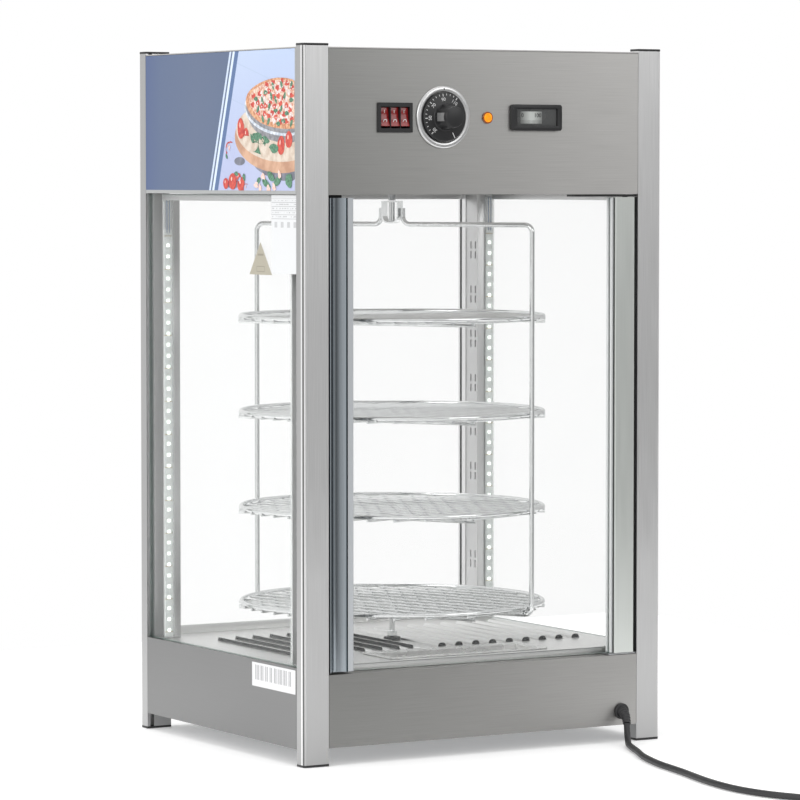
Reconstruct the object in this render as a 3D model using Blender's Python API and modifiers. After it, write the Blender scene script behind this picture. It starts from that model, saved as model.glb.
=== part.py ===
"""Countertop hot food display case with a rotating four-shelf rack.

World frame: metres, +Z up, origin on the ground under the middle of the case.
+X runs to the right along the door side, +Y runs to the back. Feet stand on z = 0.
Each named object is one physical piece or one group of identical small pieces.
"""

import math

import bmesh
import bpy
from mathutils import Matrix, Vector

# ---------------------------------------------------------------- driving dimensions
WIDTH = 0.452
DEPTH = 0.380
HEIGHT = 0.765
POST_W = 0.030            # post face on the front and back
POST_D = 0.016            # post face on the sides
GAP = 0.0004              # clearance between pieces that touch
SHEET = 0.0012            # folded stainless sheet
GLASS_T = 0.004
HEADER_Z = 0.606          # underside of the control head
SKIRT_FRONT_Z = 0.097     # top of the front skirt, under the door
SKIRT_SIDE_Z = 0.1045     # top of the other skirts
FLOOR_Z = 0.105           # top of the ribbed floor
SKIRT_LOW_Z = 0.018       # bottom edge of the skirts
COLUMN_X = (0.1964, 0.2176)
COLUMN_Y = (0.1485, 0.1736)
GLASS_SLOT = 0.0046       # width of the glass slots in the posts
SIDE_GLASS_X = 0.2201     # middle of the side glass
BACK_GLASS_Y = 0.1846     # middle of the back glass

RACK_AXIS = Vector((-0.005, 0.003, 0.0))
RACK_ANGLE = math.radians(-58.6)    # direction of the frame's plane at rest
SHELF_RING_R = 0.169
SHELF_WIRE = 0.0025                 # radius of a shelf's outer ring
SHELF_Z0 = 0.150
SHELF_PITCH = 0.1067
SHELF_COUNT = 4
FRAME_WIRE = 0.00275
FRAME_R = 0.1746                    # upright wires, just outside the rings
FRAME_TOP_Z = 0.572
FRAME_LOW_Z = 0.1422

DOOR_PIVOT = Vector((0.184, -0.182, 0.0))
DOOR_Z = (0.0994, 0.6026)
STILE_BACK_Y = -0.174

CONTROL_Z = 0.6885

HALF_W = WIDTH / 2
HALF_D = DEPTH / 2
POST_X = HALF_W - POST_W            # inner face of the posts along X
POST_Y = HALF_D - POST_D            # inner face of the posts along Y


# ---------------------------------------------------------------- scene and helpers
for old in list(bpy.data.objects):
    bpy.data.objects.remove(old, do_unlink=True)

PARTS = bpy.data.collections.new("hot_food_display_case")
CUTTERS = bpy.data.collections.new("cutters")
for collection in (PARTS, CUTTERS):
    bpy.context.scene.collection.children.link(collection)


def finish(name, color, rough, metal):
    """A Principled material."""
    mat = bpy.data.materials.new(name)
    mat.use_nodes = True
    shader = mat.node_tree.nodes["Principled BSDF"]
    shader.inputs["Base Color"].default_value = (*color, 1.0)
    shader.inputs["Roughness"].default_value = rough
    shader.inputs["Metallic"].default_value = metal
    return mat


ALUMINIUM = finish("satin_aluminium", (0.62, 0.62, 0.61), 0.38, 1.0)
STAINLESS = finish("brushed_stainless", (0.50, 0.49, 0.47), 0.35, 1.0)
CHROME = finish("chrome_wire", (0.80, 0.80, 0.80), 0.12, 1.0)
GLASS = finish("clear_glass", (0.90, 0.95, 0.94), 0.05, 0.0)
BLACK = finish("black_plastic", (0.02, 0.02, 0.02), 0.45, 0.0)
RUBBER = finish("black_rubber", (0.015, 0.015, 0.015), 0.6, 0.0)
RED = finish("red_rocker", (0.45, 0.01, 0.02), 0.3, 0.0)
AMBER = finish("amber_lens", (0.95, 0.45, 0.05), 0.2, 0.0)
SIGN = finish("printed_sign", (0.15, 0.22, 0.36), 0.4, 0.0)
LED = finish("led_strip", (0.90, 0.95, 0.92), 0.4, 0.0)
CLEAR = finish("clear_plastic", (0.85, 0.90, 0.88), 0.2, 0.0)
STEEL = finish("zinc_steel", (0.55, 0.55, 0.54), 0.4, 1.0)


def add(name, data, mat, location=(0, 0, 0), rotation=(0, 0, 0), parent=None):
    """A named object in the parts collection with its own material."""
    obj = bpy.data.objects.new(name, data)
    obj.data.materials.append(mat)
    obj.location = location
    obj.rotation_euler = rotation
    obj.parent = parent
    PARTS.objects.link(obj)
    return obj


def axis_empty(name, location, angle=0.0):
    """An empty on a joint's axis, parent of the pieces that move about it."""
    empty = bpy.data.objects.new(name, None)
    empty.location = location
    empty.rotation_euler = (0, 0, angle)
    PARTS.objects.link(empty)
    return empty


def box(name, low, high, mat, parent=None, bevel=0.0):
    """A box between two corners."""
    low, high = Vector(low), Vector(high)
    mesh = bpy.data.meshes.new(name)
    bm = bmesh.new()
    bmesh.ops.create_cube(bm, size=1.0)
    bmesh.ops.scale(bm, vec=high - low, verts=bm.verts)
    if bevel:
        bmesh.ops.bevel(bm, geom=bm.edges[:], offset=bevel, segments=2, affect="EDGES", profile=0.5)
    bm.to_mesh(mesh)
    bm.free()
    return add(name, mesh, mat, (low + high) / 2, parent=parent)


def cylinder(name, start, end, radius, mat, sides=16, parent=None, radius_end=None):
    """A cylinder or cone between two points."""
    start, end = Vector(start), Vector(end)
    mesh = bpy.data.meshes.new(name)
    bm = bmesh.new()
    bmesh.ops.create_cone(
        bm, cap_ends=True, segments=sides, radius1=radius,
        radius2=radius if radius_end is None else radius_end, depth=(end - start).length)
    bm.to_mesh(mesh)
    bm.free()
    mesh.shade_smooth()
    mesh.set_sharp_from_angle(angle=math.radians(40))
    turn = (end - start).to_track_quat("Z", "Y").to_euler()
    return add(name, mesh, mat, (start + end) / 2, turn, parent)


def turned(name, profile, mat, location, rotation=(0, 0, 0), steps=24, closed=False, parent=None):
    """A turned piece: (radius, height) points that run down the outer side."""
    mesh = bpy.data.meshes.new(name)
    count = len(profile)
    edges = [(i, i + 1) for i in range(count - 1)] + ([(count - 1, 0)] if closed else [])
    mesh.from_pydata([(r, 0, h) for r, h in profile], edges, [])
    obj = add(name, mesh, mat, location, rotation, parent)
    screw = obj.modifiers.new("turn", "SCREW")
    screw.steps = screw.render_steps = steps
    screw.use_merge_vertices = True
    screw.merge_threshold = 0.00005
    screw.use_smooth_shade = False
    return obj


FACING = {                                  # local x, y and z of a flat outline
    "XY": (0, 0, 0),
    "XZ": (math.pi / 2, 0, 0),
    "YZ": (math.pi / 2, 0, math.pi / 2),
}


def flat(name, outlines, thickness, mat, plane="XY", location=(0, 0, 0), parent=None):
    """A flat outline, with any holes as further outlines, given a thickness."""
    curve = bpy.data.curves.new(name, "CURVE")
    curve.dimensions = "2D"
    curve.fill_mode = "BOTH"
    curve.extrude = thickness / 2
    for points in outlines:
        spline = curve.splines.new("POLY")
        spline.points.add(len(points) - 1)
        spline.use_cyclic_u = True
        for point, (x, y) in zip(spline.points, points):
            point.co = (x, y, 0, 1)
    return add(name, curve, mat, location, FACING[plane], parent)


def tube(name, points, radius, mat, resolution=2, parent=None, location=(0, 0, 0)):
    """A round wire or tube along a line of points."""
    curve = bpy.data.curves.new(name, "CURVE")
    curve.dimensions = "3D"
    curve.bevel_depth = radius
    curve.bevel_resolution = resolution
    curve.use_fill_caps = True
    spline = curve.splines.new("POLY")
    spline.points.add(len(points) - 1)
    for point, co in zip(spline.points, points):
        point.co = (*co, 1)
    return add(name, curve, mat, location, parent=parent)


def meshed(obj):
    """A curve or modified object turned into a plain closed mesh of the same name."""
    name = obj.name
    evaluated = obj.evaluated_get(bpy.context.evaluated_depsgraph_get())
    mesh = bpy.data.meshes.new_from_object(evaluated)
    bm = bmesh.new()
    bm.from_mesh(mesh)
    bmesh.ops.remove_doubles(bm, verts=bm.verts, dist=0.00001)
    bm.to_mesh(mesh)
    bm.free()
    place, parent, mats = obj.matrix_world.copy(), obj.parent, list(obj.data.materials)
    bpy.data.objects.remove(obj, do_unlink=True)
    made = bpy.data.objects.new(name, mesh)
    PARTS.objects.link(made)
    mesh.materials.clear()
    mesh.materials.append(mats[0])
    made.parent = parent
    made.matrix_world = place
    return made


def combine(obj, tools, operation):
    """Cut tools out of an object, or join them to it, with exact Booleans."""
    bpy.context.view_layer.update()
    if obj.type == "CURVE":
        obj = meshed(obj)
    for tool in tools:
        bpy.context.view_layer.update()
        if tool.type == "CURVE":
            tool = meshed(tool)
        PARTS.objects.unlink(tool)
        CUTTERS.objects.link(tool)
        tool.hide_render = True
        tool.display_type = "WIRE"
        modifier = obj.modifiers.new(operation.lower(), "BOOLEAN")
        modifier.object = tool
        modifier.operation = operation
        modifier.solver = "EXACT"
    return obj


def joined(name, objects, mat):
    """Several separate solids in one node."""
    bpy.context.view_layer.update()
    bm = bmesh.new()
    for obj in objects:
        evaluated = obj.evaluated_get(bpy.context.evaluated_depsgraph_get())
        mesh = bpy.data.meshes.new_from_object(evaluated)
        mesh.transform(obj.matrix_world)
        bm.from_mesh(mesh)
        bpy.data.meshes.remove(mesh)
    for obj in objects:
        bpy.data.objects.remove(obj, do_unlink=True)
    bmesh.ops.remove_doubles(bm, verts=bm.verts, dist=0.00001)
    mesh = bpy.data.meshes.new(name)
    bm.to_mesh(mesh)
    bm.free()
    return add(name, mesh, mat)


def rectangle(low, high):
    """The corners of a rectangle."""
    return [(low[0], low[1]), (high[0], low[1]), (high[0], high[1]), (low[0], high[1])]


def arc(centre, radius, start, end, steps):
    """Points along an arc, angles in degrees."""
    return [
        (centre[0] + radius * math.cos(math.radians(start + (end - start) * i / steps)),
         centre[1] + radius * math.sin(math.radians(start + (end - start) * i / steps)))
        for i in range(steps + 1)]


def stadium(centre, length, width, steps=4, along_y=True):
    """A long outline with round ends."""
    half = length / 2 - width / 2
    x, y = centre
    if along_y:
        return (arc((x, y + half), width / 2, 0, 180, steps)
                + arc((x, y - half), width / 2, 180, 360, steps))
    return (arc((x + half, y), width / 2, -90, 90, steps)
            + arc((x - half, y), width / 2, 90, 270, steps))


def rounded_rectangle(low, high, radius, steps=3):
    """A rectangle with round corners."""
    return (arc((high[0] - radius, high[1] - radius), radius, 0, 90, steps)
            + arc((low[0] + radius, high[1] - radius), radius, 90, 180, steps)
            + arc((low[0] + radius, low[1] + radius), radius, 180, 270, steps)
            + arc((high[0] - radius, low[1] + radius), radius, 270, 360, steps))


def bent(corners, radius, steps=5):
    """A line through corners, each corner rounded by an arc."""
    corners = [Vector(c) for c in corners]
    points = [corners[0]]
    for before, here, after in zip(corners, corners[1:], corners[2:]):
        into, out = (here - before).normalized(), (after - here).normalized()
        angle = into.angle(out)
        reach = radius * math.tan(angle / 2)
        start = here - into * reach
        inward = (out - into * into.dot(out)).normalized()
        centre = start + inward * radius
        for i in range(steps + 1):
            turn = angle * i / steps
            points.append(centre - inward * radius * math.cos(turn) + into * radius * math.sin(turn))
    return points + [corners[-1]]


def smooth(points, per_span):
    """A Catmull-Rom line through hand-chosen points."""
    pts = [Vector(p) for p in points]
    line = []
    ends = [2 * pts[0] - pts[1]] + pts + [2 * pts[-1] - pts[-2]]
    for a, b, c, d in zip(ends, ends[1:], ends[2:], ends[3:]):
        for i in range(per_span):
            t = i / per_span
            line.append(0.5 * (2 * b + (c - a) * t + (2 * a - 5 * b + 4 * c - d) * t * t
                               + (3 * b - a - 3 * c + d) * t ** 3))
    return line + [pts[-1]]


# ---------------------------------------------------------------- posts
def post_outline(side, end):
    """Plan outline of a post. side is -1 left or 1 right, end is -1 front or 1 back."""
    slot_x = (SIDE_GLASS_X - GLASS_SLOT / 2, SIDE_GLASS_X + GLASS_SLOT / 2)
    slot_deep = 0.008
    corner = 0.003
    points = [(POST_X, POST_Y), (slot_x[0], POST_Y), (slot_x[0], POST_Y + slot_deep),
              (slot_x[1], POST_Y + slot_deep), (slot_x[1], POST_Y), (HALF_W, POST_Y)]
    points += arc((HALF_W - corner, HALF_D - corner), corner, 0, 90, 4)
    points += [(POST_X, HALF_D)]
    if end > 0:
        slot_y = (BACK_GLASS_Y - GLASS_SLOT / 2, BACK_GLASS_Y + GLASS_SLOT / 2)
        points += [(POST_X, slot_y[1]), (POST_X + slot_deep, slot_y[1]),
                   (POST_X + slot_deep, slot_y[0]), (POST_X, slot_y[0])]
    return [(side * x, end * y) for x, y in points]


CORNERS = {"front_left": (-1, -1), "front_right": (1, -1), "back_left": (-1, 1), "back_right": (1, 1)}


def posts():
    """Four extruded posts, each with its end plugs. They stand on the surface and carry everything."""
    for corner, (side, end) in CORNERS.items():
        flat(f"post_{corner}", [post_outline(side, end)], HEIGHT, ALUMINIUM, location=(0, 0, HEIGHT / 2))


# ---------------------------------------------------------------- casing
def channel(depth, low, high, returns_top, returns_low):
    """Section of a folded sheet: x is depth inward from the face, y is height."""
    return [(0, low), (returns_low, low), (returns_low, low + SHEET), (SHEET, low + SHEET),
            (SHEET, high - SHEET), (returns_top, high - SHEET), (returns_top, high), (0, high)]


def folded(name, wall, low, high, half_length, mat, returns_top, returns_low, shift=0.0):
    """A folded panel on one wall of the case: front, back, left or right."""
    section = channel(SHEET, low, high, returns_top, returns_low)
    if wall in ("front", "back"):
        sign = -1 if wall == "front" else 1
        outline = [(sign * (HALF_D - d), z) for d, z in section]
        return flat(name, [outline], 2 * half_length, mat, "YZ", (shift, 0, 0))
    sign = -1 if wall == "left" else 1
    outline = [(sign * (HALF_W - d), z) for d, z in section]
    return flat(name, [outline], 2 * half_length, mat, "XZ", (0, shift, 0))


def notched(half_x, half_y, notch_x, notch_y):
    """A rectangle with its four corners cut away for the posts."""
    quarter = [(half_x, notch_y), (notch_x, notch_y), (notch_x, half_y)]
    right_back = quarter
    left_back = [(-x, y) for x, y in reversed(quarter)]
    left_front = [(-x, -y) for x, y in quarter]
    right_front = [(x, -y) for x, y in reversed(quarter)]
    return right_back + left_back + left_front + right_front


def casing():
    long_x, long_y = POST_X - GAP, POST_Y - GAP
    head_top = 0.7600
    head_low = HEADER_Z + GAP

    front = folded("header_front_panel", "front", HEADER_Z, head_top, long_x, STAINLESS, 0.012, 0.014)
    y = -HALF_D
    cuts = [
        box("cut_switches", (-0.1349, y - 0.01, 0.6735), (-0.0955, y + 0.005, 0.7021), BLACK),
        box("cut_thermometer", (0.0318, y - 0.01, 0.6772), (0.0914, y + 0.005, 0.7007), BLACK),
        cylinder("cut_shaft", (-0.0552, y - 0.01, CONTROL_Z), (-0.0552, y + 0.005, CONTROL_Z), 0.005, BLACK),
        cylinder("cut_lamp", (0.0006, y - 0.01, CONTROL_Z), (0.0006, y + 0.005, CONTROL_Z), 0.0052, BLACK),
    ]
    combine(front, cuts, "DIFFERENCE")
    folded("sign_left", "left", head_low, head_top, long_y, SIGN, 0.012, 0.012)
    folded("sign_right", "right", head_low, head_top, long_y, SIGN, 0.012, 0.012)
    back = folded("header_back_panel", "back", head_low, head_top, long_x, STAINLESS, 0.012, 0.012)
    slots = [flat(f"cut_vent_{i}", [stadium((-0.09 + 0.02 * i, 0.70), 0.05, 0.006, 3)], 0.02, BLACK, "XZ",
                  (0, HALF_D, 0)) for i in range(10)]
    combine(back, [joined("cut_vents", slots, BLACK)], "DIFFERENCE")

    cover_z = head_top + GAP
    vents = [stadium((x, 0.0 + row), 0.060, 0.005, 3)
             for row in (-0.055, 0.055) for x in [-0.12 + 0.03 * i for i in range(9)]]
    outline = notched(HALF_W - GAP, HALF_D - GAP, POST_X - GAP, POST_Y - GAP)
    flat("top_cover", [outline] + vents, SHEET, STAINLESS, location=(0, 0, cover_z + SHEET / 2))

    ceiling_z = head_low + SHEET + GAP
    outline = notched(HALF_W - 0.002, HALF_D - 0.003, POST_X - GAP, POST_Y - GAP)
    hole = arc(RACK_AXIS, 0.007, 0, 345, 23)
    flat("cavity_ceiling", [outline, hole], SHEET, STAINLESS, location=(0, 0, ceiling_z + SHEET / 2))

    front = folded("front_skirt", "front", SKIRT_LOW_Z + 0.001, SKIRT_FRONT_Z, long_x, STAINLESS, 0.0203, 0.012)
    gland_hole = cylinder("cut_gland", (0.1755, y - 0.01, 0.0344), (0.1755, y + 0.005, 0.0344), 0.0066, BLACK)
    combine(front, [gland_hole], "DIFFERENCE")
    side_return = HALF_W - 0.2182
    for wall in ("left", "right"):
        folded(f"{wall}_skirt", wall, SKIRT_LOW_Z, SKIRT_SIDE_Z, long_y, STAINLESS, side_return, 0.012)
    folded("back_skirt", "back", SKIRT_LOW_Z, SKIRT_SIDE_Z, long_x, STAINLESS, 0.0078, 0.012)
    outline = notched(HALF_W - 0.002, HALF_D - 0.002, POST_X - 0.001, POST_Y - 0.001)
    feet = [arc((x, z), 0.003, 0, 330, 11) for x in (-0.18, 0.18) for z in (-0.13, 0.13)]
    flat("bottom_cover", [outline] + feet, SHEET, STEEL, location=(0, 0, 0.0216))


# ---------------------------------------------------------------- floor and water pan
RIB_PITCH, RIB_W, RIB_H = 0.022, 0.012, 0.0040
RIB_Y = (-0.079, 0.100)
PAN_X, PAN_Y = 0.102, (-0.160, -0.092)
PAN_LIP, PAN_DEEP = 0.007, 0.019


def heat_floor():
    """Stainless floor with raised ribs, a front fold, a back upstand and the pan's cut-out."""
    half_x, front_y, back_y = 0.2178, -0.1704, 0.1818
    notch_x, notch_y = POST_X - GAP, POST_Y - GAP
    outline = [(-half_x, front_y), (half_x, front_y), (half_x, notch_y), (notch_x, notch_y),
               (notch_x, back_y), (-notch_x, back_y), (-notch_x, notch_y), (-half_x, notch_y)]
    opening = rectangle((-PAN_X + PAN_LIP, PAN_Y[0] + PAN_LIP), (PAN_X - PAN_LIP, PAN_Y[1] - PAN_LIP))
    floor = flat("heat_floor", [outline, opening], SHEET, STAINLESS, location=(0, 0, FLOOR_Z - SHEET / 2))
    fold = box("floor_fold", (-notch_x, front_y, SKIRT_FRONT_Z + GAP),
               (notch_x, front_y + SHEET, FLOOR_Z - SHEET / 2), STAINLESS)
    upstand = box("floor_upstand", (-notch_x + 0.001, back_y - SHEET, FLOOR_Z - SHEET / 2),
                  (notch_x - 0.001, back_y, FLOOR_Z + 0.0096), STAINLESS)
    ribs = []
    for k in range(9):
        for side in (-1, 1):
            x = side * RIB_PITCH * (k + 0.5)
            spans = [RIB_Y]
            if k == 0:
                spans = [(RIB_Y[0], RACK_AXIS.y - 0.014), (RACK_AXIS.y + 0.014, RIB_Y[1])]
            for low, high in spans:
                centre = (x, (low + high) / 2)
                ribs.append(flat(f"rib_{len(ribs)}", [stadium(centre, high - low, RIB_W, 4)],
                                 RIB_H + SHEET / 2, STAINLESS,
                                 location=(0, 0, FLOOR_Z + RIB_H / 2 - SHEET / 4)))
    ribs = joined("floor_ribs", ribs, STAINLESS)
    return combine(floor, [fold, upstand, ribs], "UNION")


def water_pan():
    """Shallow pan whose lip rests on the floor."""
    lip_z = FLOOR_Z + GAP
    outer = rounded_rectangle((-PAN_X, PAN_Y[0]), (PAN_X, PAN_Y[1]), 0.008)
    inset = PAN_LIP + 0.0012
    bowl_low, bowl_high = (-PAN_X + inset, PAN_Y[0] + inset), (PAN_X - inset, PAN_Y[1] - inset)
    wall = 0.001
    pan = flat("water_pan", [outer], wall, STAINLESS, location=(0, 0, lip_z + wall / 2))
    bowl = flat("pan_bowl", [rounded_rectangle(bowl_low, bowl_high, 0.008)], PAN_DEEP, STAINLESS,
                location=(0, 0, lip_z + wall / 2 - PAN_DEEP / 2))
    inner_low = (bowl_low[0] + wall, bowl_low[1] + wall)
    inner_high = (bowl_high[0] - wall, bowl_high[1] - wall)
    hollow = flat("cut_pan", [rounded_rectangle(inner_low, inner_high, 0.007)], PAN_DEEP, STAINLESS,
                  location=(0, 0, lip_z + wall * 1.5 - PAN_DEEP / 2 + 0.0005))
    pan = combine(pan, [bowl], "UNION")
    return combine(pan, [hollow], "DIFFERENCE")


# ---------------------------------------------------------------- fixed glass and corner columns
def fixed_glass():
    low, high = SKIRT_SIDE_Z + GAP, HEADER_Z - GAP
    reach = POST_Y + 0.008 - GAP
    for name, side in (("left_glass", -1), ("right_glass", 1)):
        x = side * SIDE_GLASS_X
        box(name, (x - GLASS_T / 2, -reach, low), (x + GLASS_T / 2, reach, high), GLASS)
    reach = POST_X + 0.008 - GAP
    box("back_glass", (-reach, BACK_GLASS_Y - GLASS_T / 2, low), (reach, BACK_GLASS_Y + GLASS_T / 2, high), GLASS)


def corner_columns():
    """Folded corner columns, each with an LED bar along the edge that faces the door or the back."""
    wall, bar_thick = 0.0015, 0.0034
    low, high = FLOOR_Z + GAP, HEADER_Z - GAP
    (x0, x1), (y0, y1) = COLUMN_X, COLUMN_Y
    section = [(x1, y0), (x0, y0), (x0, y1), (x1, y1), (x1, y1 - wall), (x0 + wall, y1 - wall),
               (x0 + wall, y0 + wall), (x1, y0 + wall)]
    face = y0 - GAP
    bar = rectangle((x1 - 0.0110, face - bar_thick), (x1, face))
    for corner, (side, end) in CORNERS.items():
        outline = [(side * x, end * y) for x, y in section]
        middle = (0, 0, (low + high) / 2)
        flat(f"corner_column_{corner}", [outline], high - low, ALUMINIUM, location=middle)
        outline = [(side * x, end * y) for x, y in bar]
        flat(f"led_bar_{corner}", [outline], high - low - 0.002, LED, location=middle)


# ---------------------------------------------------------------- door
def door():
    """The front door, hung on two pins inside its right stile."""
    hinge = axis_empty("door_hinge_axis", DOOR_PIVOT)

    def local(points):
        return [(x - DOOR_PIVOT.x, y - DOOR_PIVOT.y) for x, y in points]

    height = DOOR_Z[1] - DOOR_Z[0]
    middle = (0, 0, sum(DOOR_Z) / 2)
    y, back = -HALF_D, STILE_BACK_Y
    slot = (-0.1845, -0.1795)
    pull = arc((-0.18345, -0.19725), 0.0118, 142, 42, 10)
    handle = [(-0.194, back), (-0.194, y + 0.0012), (-0.1932, y)] + pull + [
        (-0.1742, y), (-0.1724, y), (-0.1720, y + 0.0018), (-0.1650, y + 0.0018), (-0.1640, y + 0.0028),
        (-0.1640, slot[0]), (-0.1705, slot[0]), (-0.1705, slot[1]), (-0.1640, slot[1]),
        (-0.1640, back - 0.001), (-0.1650, back)]
    flat("door_handle_stile", [local(handle)], height, ALUMINIUM, location=middle, parent=hinge)

    r = 0.0015
    stile = ([(0.166, slot[0])] + arc((0.166 + r, y + r), r, 180, 270, 2) + arc((0.192 - r, y + r), r, 270, 360, 2)
             + arc((0.192 - r, back - r), r, 0, 90, 2) + arc((0.166 + r, back - r), r, 90, 180, 2)
             + [(0.166, slot[1]), (0.172, slot[1]), (0.172, slot[0])])
    stile = flat("door_hinge_stile", [local(stile)], height, ALUMINIUM, location=middle, parent=hinge)
    bush_deep = 0.012
    bores = []
    for name, z, up in (("low", DOOR_Z[0], 1), ("top", DOOR_Z[1], -1)):
        bores.append(cylinder(f"cut_bush_{name}", (*DOOR_PIVOT.xy, z - up * 0.005),
                              (*DOOR_PIVOT.xy, z + up * bush_deep), 0.0053, BLACK))
    combine(stile, bores, "DIFFERENCE")

    box("door_glass", Vector((-0.1702, -0.184, DOOR_Z[0] + 0.0004)) - DOOR_PIVOT,
        Vector((0.1717, -0.180, DOOR_Z[1] - 0.0004)) - DOOR_PIVOT, GLASS, parent=hinge)
    box("door_seal", Vector((0.1632, -0.1872, DOOR_Z[0] + 0.0004)) - DOOR_PIVOT,
        Vector((0.1657, -0.1843, DOOR_Z[1] - 0.0004)) - DOOR_PIVOT, RUBBER, parent=hinge)

    ring = [(0.0050, 0.0108), (0.0050, 0), (0.0032, 0), (0.0032, 0.0108)]
    for name, z in (("bottom", DOOR_Z[0] + 0.0002), ("top", DOOR_Z[1] - 0.0110)):
        turned(f"door_bush_{name}", ring, BLACK, (0, 0, z), steps=16, closed=True, parent=hinge)


def door_fixings():
    """Fixed pivot plates with their pins, and the magnetic catch."""
    y0, y1 = -0.1885, -0.1755
    pin_r = 0.0029
    top_plate = box("door_pivot_top", (0.112, y0, DOOR_Z[1] + 0.0006), (0.1955, y1, HEADER_Z - GAP), BLACK)
    top_pin = cylinder("pin_top", (*DOOR_PIVOT.xy, DOOR_Z[1] - 0.0095),
                       (*DOOR_PIVOT.xy, DOOR_Z[1] + 0.0015), pin_r, BLACK, 12)
    combine(top_plate, [top_pin], "UNION")
    low_plate = box("door_pivot_bottom", (0.160, y0, SKIRT_FRONT_Z + GAP), (0.1955, y1, DOOR_Z[0] - 0.0006), STEEL)
    low_pin = cylinder("pin_low", (*DOOR_PIVOT.xy, DOOR_Z[0] - 0.0012),
                       (*DOOR_PIVOT.xy, DOOR_Z[0] + 0.0095), pin_r, STEEL, 12)
    combine(low_plate, [low_pin], "UNION")
    box("door_catch", (-0.1955, -0.1735, 0.5930), (-0.1700, -0.1610, HEADER_Z - GAP), BLACK, bevel=0.001)


# ---------------------------------------------------------------- controls
def controls():
    y = -HALF_D
    # Switch housing with three wells, one for each rocker.
    housing = box("switch_housing", (-0.1364, y - 0.0022, 0.6720), (-0.0939, y - GAP, 0.7036), BLACK)
    body = box("switch_body", (-0.1345, y - 0.0010, 0.6739), (-0.0959, y + 0.0240, 0.7017), BLACK)
    wells = []
    pitch, rocker_w, rocker_h = 0.0121, 0.0104, 0.0205
    centre_x, rocker_z = -0.11515, 0.6878
    for i in (-1, 0, 1):
        x = centre_x + i * pitch
        wells.append(box(f"cut_well_{i}", (x - rocker_w / 2 - 0.0004, y - 0.01, rocker_z - rocker_h / 2 - 0.0012),
                         (x + rocker_w / 2 + 0.0004, y + 0.0175, rocker_z + rocker_h / 2 + 0.0012), BLACK))
    housing = combine(housing, [body], "UNION")
    combine(housing, wells, "DIFFERENCE")
    # Rockers: a round back about the pivot and two flats that meet in a shallow V.
    pivot = Vector((0, y + 0.0040, rocker_z))
    tilt, radius = math.radians(10), 0.0102
    outline = [(radius * math.sin(math.radians(a)), radius * math.cos(math.radians(a))) for a in range(12, 169, 13)]
    outline += [(-0.0045, -0.0100), (-0.0030, 0.0), (-0.0045, 0.0100)]
    tilted = [(d * math.cos(tilt) + h * math.sin(tilt), h * math.cos(tilt) - d * math.sin(tilt)) for d, h in outline]
    for i, name in ((-1, "rocker_heat"), (0, "rocker_light"), (1, "rocker_rotate")):
        flat(name, [tilted], rocker_w, RED, "YZ", (centre_x + i * pitch, pivot.y, pivot.z))

    dial_x = -0.0552
    facing = (math.pi / 2, 0, 0)          # local +Z points out of the panel, along -Y
    ring = [(0.0320, 0.0024), (0.0335, 0.0012), (0.0335, 0.0), (0.0272, 0.0), (0.0272, 0.0014), (0.0285, 0.0024)]
    turned("dial_ring", ring, ALUMINIUM, (dial_x, y - GAP, CONTROL_Z), facing, 40, closed=True)
    knob = [(0.0, 0.0250), (0.0112, 0.0250), (0.0125, 0.0238), (0.0145, 0.0052), (0.0240, 0.0048),
            (0.0262, 0.0036), (0.0265, 0.0), (0.0, 0.0)]
    turned("thermostat_knob", knob, BLACK, (dial_x, y - 0.0008, CONTROL_Z), facing, 32)
    stat = box("thermostat_body", (dial_x - 0.021, y + 0.004, CONTROL_Z - 0.021),
               (dial_x + 0.021, y + 0.032, CONTROL_Z + 0.021), STEEL)
    shaft = cylinder("stat_shaft", (dial_x, y - 0.0005, CONTROL_Z), (dial_x, y + 0.006, CONTROL_Z), 0.003, STEEL, 12)
    combine(stat, [shaft], "UNION")

    lamp = [(0.0, 0.0038), (0.0030, 0.0034), (0.0052, 0.0022), (0.0064, 0.0010), (0.0064, 0.0004),
            (0.0048, 0.0002), (0.0048, -0.0180), (0.0, -0.0180)]
    turned("indicator_lamp", lamp, AMBER, (0.0006, y - 0.0003, CONTROL_Z), facing, 20)

    gauge = box("thermometer", (0.0293, y - 0.0040, 0.6748), (0.0938, y - GAP, 0.7030), BLACK, bevel=0.0012)
    rear = box("gauge_rear", (0.0325, y - 0.0010, 0.6779), (0.0907, y + 0.0160, 0.7000), BLACK)
    window = box("cut_window", (0.0370, y - 0.0060, 0.6798), (0.0880, y - 0.0022, 0.6985), BLACK)
    gauge = combine(gauge, [rear], "UNION")
    combine(gauge, [window], "DIFFERENCE")


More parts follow.
